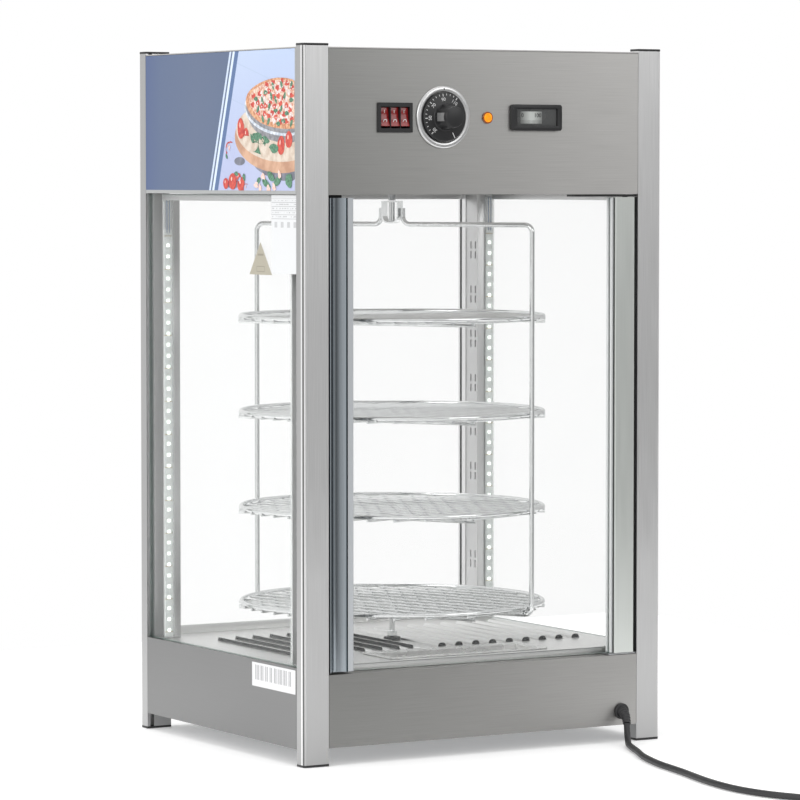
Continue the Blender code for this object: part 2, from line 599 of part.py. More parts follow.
# ---------------------------------------------------------------- rotating rack
def rack():
    axis = axis_empty("rack_axis", RACK_AXIS, RACK_ANGLE)
    top = HEADER_Z + 0.0135
    cylinder("drive_shaft", (0, 0, 0.5985), (0, 0, top), 0.004, STEEL, 14, parent=axis)

    # Hub: a stirrup strap round a short sleeve; the frame's wire ends stand against its sides.
    half, strap, low, high = 0.0105, 0.0016, 0.5730, 0.5980
    outer = ([(half, high), (-half, high)] + arc((-half + 0.008, low + 0.008), 0.008, 180, 270, 3)
             + arc((half - 0.008, low + 0.008), 0.008, 270, 360, 3))
    inner_r = 0.008 - strap
    inner = ([(half - strap, high - strap), (-half + strap, high - strap)]
             + arc((-half + 0.008, low + 0.008), inner_r, 180, 270, 3)
             + arc((half - 0.008, low + 0.008), inner_r, 270, 360, 3))
    hub = flat("rack_hub", [outer, inner], 0.012, CHROME, "XZ", parent=axis)
    sleeve = cylinder("hub_sleeve", (0, 0, low + strap / 2), (0, 0, high - strap / 2), 0.0036, CHROME, 14,
                      parent=axis)
    combine(hub, [sleeve], "UNION")

    end_x, end_z = half + FRAME_WIRE + 0.0004, 0.590
    corners = [(-end_x, 0, end_z), (-end_x, 0, FRAME_TOP_Z), (-FRAME_R, 0, FRAME_TOP_Z),
               (-FRAME_R, 0, FRAME_LOW_Z), (FRAME_R, 0, FRAME_LOW_Z), (FRAME_R, 0, FRAME_TOP_Z),
               (end_x, 0, FRAME_TOP_Z), (end_x, 0, end_z)]
    frame = tube("rack_frame", bent(corners, 0.008, 4), FRAME_WIRE, CHROME, 2, parent=axis)
    rod = cylinder("pivot_rod", (0, 0, FLOOR_Z + 0.0008), (0, 0, FRAME_LOW_Z - 0.001), 0.003, CHROME, 14,
                   parent=axis)
    combine(frame, [rod], "UNION")

    bush = [(0.0095, 0.0030), (0.0095, 0), (0.0034, 0), (0.0034, 0.0036), (0.0090, 0.0036)]
    turned("floor_bush", bush, BLACK, RACK_AXIS + Vector((0, 0, FLOOR_Z + GAP)), steps=20, closed=True)

    for i in range(SHELF_COUNT):
        shelf(f"shelf_{i + 1}", SHELF_Z0 + i * SHELF_PITCH, axis)


def shelf(name, z, axis):
    """A ring, a row of thin wires welded under it and two supports under those."""
    wire, support, weld = 0.0013, 0.0020, 0.0004
    wire_z = z - SHELF_WIRE - wire + weld
    support_z = wire_z - wire - support + weld
    ring_points = [(SHELF_RING_R + SHELF_WIRE * math.cos(a), SHELF_WIRE * math.sin(a))
                   for a in [math.radians(90 - 60 * k) for k in range(6)]]
    ring = turned(name, ring_points, CHROME, (0, 0, z), steps=40, closed=True, parent=axis)
    reach = SHELF_RING_R + SHELF_WIRE - 0.0005
    count, pitch = 11, 0.028
    wires, supports = [], []
    for k in range(count):
        across = (k - (count - 1) / 2) * pitch
        half = math.sqrt(reach ** 2 - across ** 2)
        wires.append(cylinder(f"{name}_wire_{k}", (across, -half, wire_z), (across, half, wire_z), wire, CHROME, 5))
    for across in (-0.085, 0.085):
        half = math.sqrt(reach ** 2 - across ** 2)
        supports.append(cylinder(f"{name}_support_{across}", (-half, across, support_z), (half, across, support_z),
                                 support, CHROME, 6))
    tools = []
    for label, pieces in (("wires", wires), ("supports", supports)):
        tool = joined(f"{name}_{label}", pieces, CHROME)
        tool.parent = axis
        tools.append(tool)
    combine(ring, tools, "UNION")


# ---------------------------------------------------------------- inside the head and the base
def works():
    motor_z = HEADER_Z + 0.0150
    x, y = RACK_AXIS.x, RACK_AXIS.y
    w, foot, t = 0.035, 0.015, 0.0012
    base = HEADER_Z + 0.0035
    hat = [(-w - foot, base), (-w, base), (-w, motor_z - t), (w, motor_z - t), (w, base), (w + foot, base),
           (w + foot, base + t), (w + t, base + t), (w + t, motor_z), (-w - t, motor_z), (-w - t, base + t),
           (-w - foot, base + t)]
    bracket = flat("gear_motor", [hat], 0.050, STEEL, "XZ", (x, y, 0))
    hole = cylinder("cut_motor_shaft", (x, y, motor_z - 0.006), (x, y, motor_z + 0.004), 0.006, STEEL)
    profile = [(0.0, 0.0550), (0.0240, 0.0550), (0.0240, 0.0200), (0.0300, 0.0200), (0.0300, 0.0), (0.0, 0.0)]
    motor = turned("motor_can", profile, STEEL, (x, y, motor_z - 0.0004), steps=24)
    bracket = combine(bracket, [hole], "DIFFERENCE")
    combine(bracket, [motor], "UNION")

    z = 0.088
    corners = [(0.05, 0.150, z), (0.05, -0.060, z), (0.150, -0.060, z), (0.150, 0.165, z), (-0.150, 0.165, z),
               (-0.150, -0.060, z), (-0.05, -0.060, z), (-0.05, 0.150, z)]
    tube("floor_heater", bent(corners, 0.020, 5), 0.0035, STEEL, 2)


# ---------------------------------------------------------------- mains lead
# The lead leaves the strain relief downwards, bends onto the surface, runs forward in a loose
# curve and ends in a flat coil of two layers, with the plug on the surface beside it.
CORD_R = 0.0035
CORD_ROUTE = [
    (0.1714, -0.2079, 0.0222), (0.1702, -0.2101, 0.0182), (0.1682, -0.2136, 0.0131),
    (0.1658, -0.2179, 0.0089), (0.1630, -0.2229, 0.0059), (0.1599, -0.2283, 0.0041),
    (0.1570, -0.2335, 0.0036), (0.1508, -0.2465, 0.0036), (0.1432, -0.2640, 0.0036),
    (0.1340, -0.2860, 0.0036), (0.1205, -0.3150, 0.0036), (0.1105, -0.3440, 0.0036),
    (0.1018, -0.3750, 0.0036), (0.0960, -0.4050, 0.0036), (0.0900, -0.4360, 0.0036),
    (0.0825, -0.4680, 0.0036), (0.0755, -0.5000, 0.0036), (0.0708, -0.5350, 0.0036),
    (0.0698, -0.5650, 0.0036), (0.0735, -0.5940, 0.0036), (0.0807, -0.6180, 0.0036),
    (0.0900, -0.6385, 0.0036), (0.1008, -0.6600, 0.0036), (0.1120, -0.6820, 0.0036),
]
COIL_OUTER, COIL_INNER = 0.0465, 0.0273      # centrelines of the outermost and innermost turns
COIL_HIGH = 0.0150
CORD_TAIL = 0.027                            # from the coil to the plug


def mains_lead():
    start = Vector((0.1755, -HALF_D - 0.0003, 0.0344))
    bend = Vector((0.1752, -0.2010, 0.0338))
    first, second = Vector(CORD_ROUTE[0]), Vector(CORD_ROUTE[1])
    end = first + (first - second).normalized() * 0.0007
    line = [(1 - t) ** 2 * start + 2 * t * (1 - t) * bend + t * t * end for t in [i / 7 for i in range(8)]]
    relief = tube("relief_horn", line, 0.0060, RUBBER, 3)
    for i, point in enumerate(relief.data.splines[0].points):
        point.radius = 1.0 - 0.28 * i / 7
    flange = cylinder("cord_gland", start, start + Vector((0, -0.003, 0)), 0.0088, RUBBER, 20)
    stub = cylinder("relief_stub", start + Vector((0, -0.001, 0)), start + Vector((0, 0.0062, 0)), 0.0062,
                    RUBBER, 16)
    combine(flange, [relief, stub], "UNION")

    tube("power_cord", smooth(CORD_ROUTE, 3), CORD_R, RUBBER, 3)

    # The coil's outer shape. The free stretch comes in beside it, along its edge.
    tail = Vector(CORD_ROUTE[-1])
    heading = (tail - Vector(CORD_ROUTE[-2])).normalized()
    outer, inner = COIL_OUTER + CORD_R + 0.0003, COIL_INNER - CORD_R - 0.0003
    centre = tail + Vector((-heading.y, heading.x, 0)) * (outer + CORD_R + 0.0003)
    centre.z = 0.0001
    c = 0.003
    ring = [(inner + c, COIL_HIGH), (outer - c, COIL_HIGH), (outer, COIL_HIGH - c), (outer, c), (outer - c, 0.0),
            (inner + c, 0.0), (inner, c), (inner, COIL_HIGH - c)]
    turned("cord_coil", ring, RUBBER, centre, steps=36, closed=True)

    # Plug on the surface: a body that narrows to its strain relief, with three pins.
    rear = Vector((centre.x + COIL_OUTER, centre.y + CORD_TAIL, 0.0002))
    body = [(-0.0040, 0.0004), (0.0040, 0.0004), (0.0055, 0.0120), (0.0150, 0.0200), (0.0160, 0.0330),
            (-0.0160, 0.0330), (-0.0150, 0.0200), (-0.0055, 0.0120)]
    plug = flat("plug", [body], 0.0215, RUBBER, location=rear + Vector((0, 0, 0.01075)))
    pins = []
    for across, up, reach in ((-0.0064, 0.0138, 0.0178), (0.0064, 0.0138, 0.0178), (0.0, 0.0065, 0.0200)):
        root = rear + Vector((across, 0.0310, up))
        pins.append(cylinder(f"pin_{len(pins)}", root, root + Vector((0, reach + 0.002, 0)), 0.0022, STEEL, 8))
    combine(plug, [joined("plug_pins", pins, STEEL)], "UNION")


posts()
casing()
heat_floor()
water_pan()
fixed_glass()
corner_columns()
door()
door_fixings()
controls()
rack()
works()
mains_lead()
bpy.context.view_layer.update()
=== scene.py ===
"""Hot food display case with a turning rack: the visual model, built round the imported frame."""

import math
import random

import bpy
from mathutils import Matrix, Vector


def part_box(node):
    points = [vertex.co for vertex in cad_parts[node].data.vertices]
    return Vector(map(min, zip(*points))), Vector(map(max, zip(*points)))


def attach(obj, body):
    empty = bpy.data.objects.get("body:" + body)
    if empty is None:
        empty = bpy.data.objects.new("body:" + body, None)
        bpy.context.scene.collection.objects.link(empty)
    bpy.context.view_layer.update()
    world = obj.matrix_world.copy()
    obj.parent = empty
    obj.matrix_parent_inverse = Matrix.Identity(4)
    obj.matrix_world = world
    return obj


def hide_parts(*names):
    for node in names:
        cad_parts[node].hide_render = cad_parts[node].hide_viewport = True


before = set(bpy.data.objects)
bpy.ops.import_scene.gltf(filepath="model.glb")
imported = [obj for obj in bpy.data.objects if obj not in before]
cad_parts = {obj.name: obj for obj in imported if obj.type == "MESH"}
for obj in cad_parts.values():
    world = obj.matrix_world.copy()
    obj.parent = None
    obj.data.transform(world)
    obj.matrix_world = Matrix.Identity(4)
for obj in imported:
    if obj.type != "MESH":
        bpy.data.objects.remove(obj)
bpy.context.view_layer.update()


# ---------------------------------------------------------------- camera, light and floor
# A long lens at a slight left-hand angle, a little above the middle of the case. The floor is a
# plain pale sheet, and the light is a bright even studio with three large soft boxes.
bpy.context.scene.view_settings.view_transform = "Standard"

lens = bpy.data.cameras.new("camera")
lens.sensor_width = 36.0
lens.lens = 185.06
camera = bpy.data.objects.new("camera", lens)
yaw, pitch = math.radians(30.523), math.radians(3.116)
sight = Vector((math.sin(yaw) * math.cos(pitch), math.cos(yaw) * math.cos(pitch), -math.sin(pitch)))
camera.location = (-2.3343, -3.9653, 0.6256)
camera.rotation_euler = sight.to_track_quat("-Z", "Y").to_euler()
bpy.context.collection.objects.link(camera)
bpy.context.scene.camera = camera


class Wire:
    """A value in a shader. Arithmetic on it adds Math nodes."""

    def __init__(self, nodes, socket):
        self.nodes, self.socket = nodes, socket

    def calc(self, operation, first, second=0.0):
        return self.nodes.node("Math", {"operation": operation}, {0: first, 1: second})

    def __add__(self, other):
        return self.calc("ADD", self, other)

    def __radd__(self, other):
        return self.calc("ADD", other, self)

    def __sub__(self, other):
        return self.calc("SUBTRACT", self, other)

    def __rsub__(self, other):
        return self.calc("SUBTRACT", other, self)

    def __mul__(self, other):
        return self.calc("MULTIPLY", self, other)

    def __rmul__(self, other):
        return self.calc("MULTIPLY", other, self)

    def __truediv__(self, other):
        return self.calc("DIVIDE", self, other)

    def __mod__(self, other):
        return self.calc("FLOORED_MODULO", self, other)

    def __gt__(self, other):
        return self.calc("GREATER_THAN", self, other)

    def __lt__(self, other):
        return self.calc("LESS_THAN", self, other)

    def __abs__(self):
        return self.calc("ABSOLUTE", self)


class Nodes:
    """A node tree and the one method that adds its nodes."""

    def __init__(self, tree):
        self.tree = tree

    def fill(self, socket, value):
        if isinstance(value, Wire):
            self.tree.links.new(value.socket, socket)
        elif isinstance(value, tuple) and len(value) == 3 and socket.type == "RGBA":
            socket.default_value = (*value, 1.0)
        elif isinstance(value, float) and socket.type == "RGBA":
            socket.default_value = (value, value, value, 1.0)
        else:
            socket.default_value = value

    def node(self, kind, settings=None, sockets=None, output=0):
        made = self.tree.nodes.new("ShaderNode" + kind)
        for key, value in (settings or {}).items():
            if key == "stops":
                while len(made.color_ramp.elements) < len(value):
                    made.color_ramp.elements.new(1.0)
                for element, (at, tone) in zip(made.color_ramp.elements, value):
                    element.position, element.color = at, (*tone, 1.0)
            else:
                setattr(made, key, value)
        for key, value in (sockets or {}).items():
            self.fill(made.inputs[key], value)
        return Wire(self, made.outputs[output])

    def blend(self, factor, first, second):
        """A colour between two."""
        return self.node("Mix", {"data_type": "RGBA"}, {0: factor, 6: first, 7: second}, output=2)


# The studio round the case: white walls with two dim gaps between the lit parts, as metal needs
# something darker to reflect. Angles are degrees from straight in front, right positive.
studio = bpy.data.worlds.new("studio")
studio.use_nodes = True
room = Nodes(studio.node_tree)
toward = room.node("TexCoord")
east, north, up = (room.node("SeparateXYZ", {}, {0: toward}, output=i) for i in range(3))
bearing = room.node("Math", {"operation": "ARCTAN2"}, {0: east, 1: -1.0 * north}) / (2 * math.pi) + 0.5
walls = [(-180, 0.92), (-100, 1.0), (-45, 0.98), (-8, 0.72), (16, 0.40), (36, 0.20), (58, 0.50), (88, 0.9),
         (128, 0.5), (160, 0.9), (180, 0.92)]
wall = room.node("ValToRGB", {"stops": [(deg / 360 + 0.5, (v, v, v)) for deg, v in walls]}, {0: bearing})
overhead = room.node("MapRange", {}, {0: up, 1: 0.35, 2: 0.8})
shell = room.blend(overhead, wall, (1.0, 1.0, 1.0))
seen = room.node("LightPath")
room.fill(studio.node_tree.nodes["Background"].inputs["Color"], room.blend(seen, shell, (1.0, 1.0, 1.0)))
studio.node_tree.nodes["Background"].inputs["Strength"].default_value = 1.0
bpy.context.scene.world = studio


def soft_box(name, place, target, width, height, watts):
    """A rectangular area light that faces a point."""
    lamp = bpy.data.lights.new(name, "AREA")
    lamp.shape, lamp.size, lamp.size_y, lamp.energy = "RECTANGLE", width, height, watts
    light = bpy.data.objects.new(name, lamp)
    light.location = place
    light.rotation_euler = (Vector(target) - Vector(place)).to_track_quat("-Z", "Y").to_euler()
    bpy.context.collection.objects.link(light)


soft_box("soft_box_left", (-3.0, -1.0, 1.6), (0, 0, 0.4), 1.6, 1.6, 24)
soft_box("soft_box_front", (1.6, -3.2, 1.9), (0, 0, 0.4), 1.8, 1.4, 20)
soft_box("soft_box_above", (0.0, 0.4, 3.0), (0, 0, 0.4), 2.0, 2.0, 26)

bpy.ops.object.select_all(action="DESELECT")
bpy.ops.mesh.primitive_plane_add(size=1.9, location=(0, 0, -0.0004))
floor = bpy.context.object
floor.name = "studio_floor"
floor_paint = bpy.data.materials.new("studio_floor")
floor_paint.use_nodes = True
floor_paint.node_tree.nodes["Principled BSDF"].inputs["Base Color"].default_value = (0.93, 0.93, 0.93, 1)
floor_paint.node_tree.nodes["Principled BSDF"].inputs["Roughness"].default_value = 0.9
floor_paint.node_tree.nodes["Principled BSDF"].inputs["Emission Color"].default_value = (1, 1, 1, 1)
floor_paint.node_tree.nodes["Principled BSDF"].inputs["Emission Strength"].default_value = 0.22
floor.data.materials.append(floor_paint)


# ---------------------------------------------------------------- mains lead
# Round black rubber lead, 7 mm across and 1.8 m long. It bends down out of the strain relief,
# lies forward on the surface, and what is left over is wound flat in two layers.
class Finish(Nodes):
    """A Principled material for one kind of surface, and the record's slot that it belongs to."""

    def __init__(self, name, slot, **sockets):
        self.material = bpy.data.materials.new(name)
        self.material.use_nodes = True
        super().__init__(self.material.node_tree)
        self.slot = slot
        self.shader = self.tree.nodes["Principled BSDF"]
        self.set(**sockets)

    def set(self, **sockets):
        """Sets or links the shader's sockets: base_color is Base Color, and so on."""
        for key, value in sockets.items():
            self.fill(self.shader.inputs[key.replace("_", " ").title()], value)

    def place(self, stretch=(1, 1, 1)):
        """Object coordinates in metres, each axis times its stretch."""
        return self.node("Mapping", {}, {"Vector": self.node("TexCoord", output=3), "Scale": stretch})

    def along(self, axis):
        """One of the object coordinates, 0 for X, 1 for Y and 2 for Z."""
        return self.node("SeparateXYZ", {}, {0: self.place()}, output=axis)

    def facing(self, axis):
        """One part of the surface's own normal, without its sign. It turns with the piece."""
        normal = self.node("TexCoord", output=1)
        return abs(self.node("SeparateXYZ", {}, {0: normal}, output=axis))

    def noise(self, stretch, scale=1.0, detail=2.0):
        return self.node("TexNoise", {}, {"Vector": self.place(stretch), "Scale": scale, "Detail": detail})

    def bump(self, height, distance, strength=1.0):
        return self.node("Bump", {}, {"Height": height, "Distance": distance, "Strength": strength})


def speckled(name, slot, dark, light, scale, detail=2.0, rough=0.5, spread=0.0, dent=0.0, **fixed):
    """A finish whose tone, gloss and relief follow one fine noise."""
    finish = Finish(name, slot, **fixed)
    speck = finish.noise((1, 1, 1), scale, detail)
    finish.set(base_color=finish.blend(speck, dark, light), roughness=rough + spread * speck if spread else rough)
    if dent:
        finish.set(normal=finish.bump(speck, dent))
    return finish


rubber = speckled("black_rubber", "rubber", (0.010, 0.010, 0.011), (0.026, 0.026, 0.028), 900.0, 3.0, 0.38, 0.22,
                  0.00004)


def clear_selection():
    if bpy.context.object and bpy.context.object.mode != "OBJECT":
        bpy.ops.object.mode_set(mode="OBJECT")
    bpy.ops.object.select_all(action="DESELECT")


def object_mode():
    bpy.ops.object.mode_set(mode="OBJECT")


def apply_place():
    bpy.ops.object.transform_apply(location=True, rotation=True, scale=True)


def pick(piece):
    clear_selection()
    piece.select_set(True)
    bpy.context.view_layer.objects.active = piece


def settle(piece, name, finish, body="root", smooth=None):
    """Puts a finished piece's place into its mesh, and gives it its name, finish and body."""
    pick(piece)
    apply_place()
    if smooth is not None:
        bpy.ops.object.shade_smooth_by_angle(angle=math.radians(smooth))
    piece.name = name
    piece.data.materials.clear()
    piece.data.materials.append(finish.material)
    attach(piece, body)
    return piece


def line_curve(points, radius, sides=3, radii=None, closed=False):
    """A round tube along a line of points, still a curve."""
    curve = bpy.data.curves.new("tube", "CURVE")
    curve.dimensions = "3D"
    curve.bevel_depth, curve.bevel_resolution, curve.use_fill_caps = radius, sides, not closed
    spline = curve.splines.new("POLY")
    spline.points.add(len(points) - 1)
    spline.use_cyclic_u = closed
    for i, (point, co) in enumerate(zip(spline.points, points)):
        point.co = (*co, 1)
        point.radius = radii[i] if radii else 1.0
    piece = bpy.data.objects.new("tube", curve)
    bpy.context.collection.objects.link(piece)
    return piece


def meshed(piece):
    """A curve or text object turned into a mesh, with its seams closed."""
    pick(piece)
    bpy.ops.object.convert(target="MESH")
    piece = bpy.context.object
    bpy.ops.object.mode_set(mode="EDIT")
    bpy.ops.mesh.select_all(action="SELECT")
    bpy.ops.mesh.remove_doubles(threshold=0.000002)
    bpy.ops.mesh.normals_make_consistent(inside=False)
    object_mode()
    return piece


def joined(pieces):
    """Several meshes as one object."""
    clear_selection()
    for piece in pieces:
        piece.select_set(True)
    bpy.context.view_layer.objects.active = pieces[0]
    if len(pieces) > 1:
        bpy.ops.object.join()
    return bpy.context.object


def plan_outline(outlines, thickness, turn=(0, 0, 0), place=(0, 0, 0)):
    """A flat outline, with holes as further outlines, given a thickness and turned into place."""
    curve = bpy.data.curves.new("outline", "CURVE")
    curve.dimensions, curve.fill_mode, curve.extrude = "2D", "BOTH", thickness / 2
    for points in outlines:
        spline = curve.splines.new("POLY")
        spline.points.add(len(points) - 1)
        spline.use_cyclic_u = True
        for point, (x, y) in zip(spline.points, points):
            point.co = (x, y, 0, 1)
    piece = bpy.data.objects.new("outline", curve)
    bpy.context.collection.objects.link(piece)
    piece.rotation_euler, piece.location = turn, place
    return meshed(piece)


def arc(x, y, radius, start, end, steps):
    """Points along an arc, angles in degrees."""
    return [(x + radius * math.cos(math.radians(start + (end - start) * i / steps)),
             y + radius * math.sin(math.radians(start + (end - start) * i / steps)))
            for i in range(steps + 1)]


def rounded(x0, y0, x1, y1, r, steps=4):
    """A rectangle with round corners."""
    return (arc(x1 - r, y1 - r, r, 0, 90, steps) + arc(x0 + r, y1 - r, r, 90, 180, steps)
            + arc(x0 + r, y0 + r, r, 180, 270, steps) + arc(x1 - r, y0 + r, r, 270, 360, steps))


route = [
    (0.1714, -0.2079, 0.0222), (0.1702, -0.2101, 0.0182), (0.1682, -0.2136, 0.0131),
    (0.1658, -0.2179, 0.0089), (0.1630, -0.2229, 0.0059), (0.1599, -0.2283, 0.0041),
    (0.1570, -0.2335, 0.0036), (0.1508, -0.2465, 0.0036), (0.1432, -0.2640, 0.0036),
    (0.1340, -0.2860, 0.0036), (0.1205, -0.3150, 0.0036), (0.1105, -0.3440, 0.0036),
    (0.1018, -0.3750, 0.0036), (0.0960, -0.4050, 0.0036), (0.0900, -0.4360, 0.0036),
    (0.0825, -0.4680, 0.0036), (0.0755, -0.5000, 0.0036), (0.0708, -0.5350, 0.0036),
    (0.0698, -0.5650, 0.0036), (0.0735, -0.5940, 0.0036), (0.0807, -0.6180, 0.0036),
    (0.0900, -0.6385, 0.0036), (0.1008, -0.6600, 0.0036), (0.1120, -0.6820, 0.0036),
]


def through(points, per_span):
    """A smooth line through listed points."""
    pts = [Vector(p) for p in points]
    ends = [2 * pts[0] - pts[1]] + pts + [2 * pts[-1] - pts[-2]]
    line = []
    for a, b, c, d in zip(ends, ends[1:], ends[2:], ends[3:]):
        for i in range(per_span):
            t = i / per_span
            line.append(0.5 * (2 * b + (c - a) * t + (2 * a - 5 * b + 4 * c - d) * t * t
                               + (3 * b - a - 3 * c + d) * t ** 3))
    return line + [pts[-1]]


def ease(t):
    t = min(1.0, max(0.0, t))
    return t * t * (3 - 2 * t)


cord_radius = 0.0035
outer_turn, inner_turn, layer_rise = 0.0465, 0.0273, 0.0072
arrive = Vector(route[-1])
heading = (arrive - Vector(route[-2])).normalized()
beside = outer_turn + 2 * (cord_radius + 0.0003)
coil_centre = arrive + Vector((-heading.y, heading.x, 0)) * beside
start_angle = math.atan2(arrive.y - coil_centre.y, arrive.x - coil_centre.x) % (2 * math.pi)
turns = (2 * math.pi - start_angle) / (2 * math.pi) + 5
cord_line = through(route, 3)
steps = int(turns * 28)
for i in range(1, steps + 1):
    t = turns * i / steps
    half = turns / 2
    inward = t / half if t < half else (turns - t) / half
    radius = outer_turn + (inner_turn - outer_turn) * inward + (beside - outer_turn) * (1 - ease(t / 0.40))
    angle = start_angle + 2 * math.pi * t
    cord_line.append(Vector((coil_centre.x + radius * math.cos(angle), coil_centre.y + radius * math.sin(angle),
                             route[-1][2] + layer_rise * ease((t - half + 0.15) / 0.3))))
plug_rear = Vector((coil_centre.x + outer_turn, coil_centre.y + 0.027, route[-1][2] + layer_rise))
for i in range(1, 6):
    cord_line.append(cord_line[-1].lerp(plug_rear, 1 / (6 - i)))
lead = line_curve(cord_line, cord_radius, 4)
lead.name = "mains_lead"
lead.data.materials.append(rubber.material)
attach(lead, "root")
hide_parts("power_cord", "cord_coil")

# Strap that holds the coil together: a flat black band round the bundle, closed on itself.
bundle_in, bundle_out = inner_turn - cord_radius, outer_turn + cord_radius
band = plan_outline(
    [rounded(bundle_in - 0.0012, 0.0001, bundle_out + 0.0012, 0.0156, 0.004),
     rounded(bundle_in - 0.0002, 0.0009, bundle_out + 0.0002, 0.0148, 0.0034)],
    0.009, (math.pi / 2, 0, math.radians(120)), (coil_centre.x, coil_centre.y, 0))
settle(band, "coil_strap", rubber, smooth=40)

# ---------------------------------------------------------------- plug
# Moulded black plug on the end of the lead: a waisted grip with ridges, and two flat blades with
# a round earth pin. The moulding is one piece with the lead's end.
def softened(piece, width, segments=2, limit=30):
    """Rounds a piece's sharp edges."""
    rounding = piece.modifiers.new("rounding", "BEVEL")
    rounding.width, rounding.segments, rounding.limit_method = width, segments, "ANGLE"
    rounding.angle_limit = math.radians(limit)
    pick(piece)
    bpy.ops.object.modifier_apply(modifier="rounding")
    return piece


grip = plan_outline(
    [[(-0.0042, 0.0004), (0.0042, 0.0004), (0.0052, 0.0070), (0.0062, 0.0125), (0.0125, 0.0180),
      (0.0150, 0.0215), (0.0160, 0.0255), (0.0160, 0.0330), (-0.0160, 0.0330), (-0.0160, 0.0255),
      (-0.0150, 0.0215), (-0.0125, 0.0180), (-0.0062, 0.0125), (-0.0052, 0.0070)]],
    0.0212, (0, 0, 0), (plug_rear.x, plug_rear.y, 0.0109))
softened(grip, 0.0022, 3)
ridges = []
for k in range(4):
    y = plug_rear.y + 0.0235 + 0.0024 * k
    ridge = plan_outline([rounded(-0.0163, -0.0090, 0.0163, 0.0090, 0.003)], 0.0011,
                         (math.pi / 2, 0, 0), (plug_rear.x, y, 0.0109))
    ridges.append(ridge)
collar = line_curve([(plug_rear.x, plug_rear.y + 0.0005 * k - 0.0005, plug_rear.z) for k in range(26)], 0.0050, 4,
                    [0.84 + 0.012 * k - (0.10 if k % 4 == 3 else 0.0) for k in range(26)])
moulding = settle(joined([grip, meshed(collar)] + ridges), "plug_moulding", rubber, smooth=35)

brass = speckled("nickel_brass", "zinc_steel", (0.62, 0.58, 0.48), (0.72, 0.69, 0.60), 500.0, 2.0, 0.2, 0.15,
                 metallic=1.0)
blades = [plan_outline([rounded(-0.0031, 0.0, 0.0031, 0.0176, 0.0008, 2)], 0.0015, (0, math.pi / 2, 0),
                       (plug_rear.x + side * 0.0064, plug_rear.y + 0.0325, 0.0138)) for side in (-1, 1)]
clear_selection()
bpy.ops.mesh.primitive_cylinder_add(vertices=20, radius=0.0023, depth=0.0200, rotation=(math.pi / 2, 0, 0),
                                    location=(plug_rear.x, plug_rear.y + 0.0425, 0.0067))
earth_pin = softened(bpy.context.object, 0.0010)
pins = settle(joined(blades + [earth_pin]), "plug_pins", brass, smooth=35)
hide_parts("plug")

# ---------------------------------------------------------------- strain relief
# Black rubber strain relief in the front skirt: a round flange and a ribbed horn that tapers
# and droops, so the lead leaves downwards without a kink.
mouth = Vector((0.1755, -0.1903, 0.0344))
lead_start, lead_next = Vector(route[0]), Vector(route[1])
horn_end = lead_start + (lead_start - lead_next).normalized() * 0.0005
horn_line, horn_radii = [], []
for i in range(29):
    t = i / 28
    horn_line.append((1 - t) ** 2 * mouth + 2 * t * (1 - t) * Vector((0.1752, -0.2010, 0.0338)) + t * t * horn_end)
    horn_radii.append((1.0 - 0.27 * t) * (0.88 if i % 4 in (2, 3) and 4 < i < 27 else 1.0))
horn = meshed(line_curve(horn_line, 0.0061, 5, horn_radii))
clear_selection()
bpy.ops.mesh.primitive_cylinder_add(vertices=40, radius=0.0088, depth=0.0030, rotation=(math.pi / 2, 0, 0),
                                    location=(mouth.x, mouth.y - 0.0015, mouth.z))
flange = softened(bpy.context.object, 0.0009, 3)
clear_selection()
bpy.ops.mesh.primitive_cylinder_add(vertices=24, radius=0.0061, depth=0.0065, rotation=(math.pi / 2, 0, 0),
                                    location=(mouth.x, mouth.y + 0.0028, mouth.z))
stub = bpy.context.object
relief = settle(joined([horn, flange, stub]), "strain_relief", rubber, smooth=40)
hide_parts("cord_gland")

# ---------------------------------------------------------------- posts
# Four extruded aluminium posts, brushed along their length, each with a black plastic plug in
# both ends. They stand on the surface and every panel is fixed to them.
def brushed(name, slot, dark, light, stretch, rough, depth=0.000006):
    """A brushed metal whose grain runs along the axis with the smallest stretch."""
    finish = Finish(name, slot, metallic=1.0)
    grain = finish.noise(stretch, 1.0, 4.0)
    drift = finish.noise((5, 5, 5), 1.0, 1.0)
    finish.set(base_color=finish.blend(0.6 * grain + 0.4 * drift, dark, light),
               roughness=(rough - 0.06) + 0.16 * grain, normal=finish.bump(grain, depth))
    return finish


def coat(finish, *nodes):
    """Gives CAD pieces their finish."""
    for name in nodes:
        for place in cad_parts[name].material_slots:
            place.material = finish.material


def block(low, high):
    """A box between two corners, with its place in its mesh."""
    low, high = Vector(low), Vector(high)
    clear_selection()
    bpy.ops.mesh.primitive_cube_add(size=1, location=(low + high) / 2)
    piece = bpy.context.object
    piece.scale = high - low
    apply_place()
    return piece


def twin(piece, east=1, north=1, shift=(0, 0, 0)):
    """A copy with its own mesh, mirrored or moved."""
    made = piece.copy()
    made.data = piece.data.copy()
    bpy.context.collection.objects.link(made)
    made.scale, made.location = (east, north, 1), shift
    pick(made)
    apply_place()
    if east * north < 0:
        bpy.ops.object.mode_set(mode="EDIT")
        bpy.ops.mesh.select_all(action="SELECT")
        bpy.ops.mesh.normals_make_consistent(inside=False)
        object_mode()
    return made


def pad(low, high, edge=0.0004, segments=2):
    """A box with rounded edges."""
    return softened(block(low, high), edge, segments)


corners = {"front_left": (-1, -1), "front_right": (1, -1), "back_left": (-1, 1), "back_right": (1, 1)}
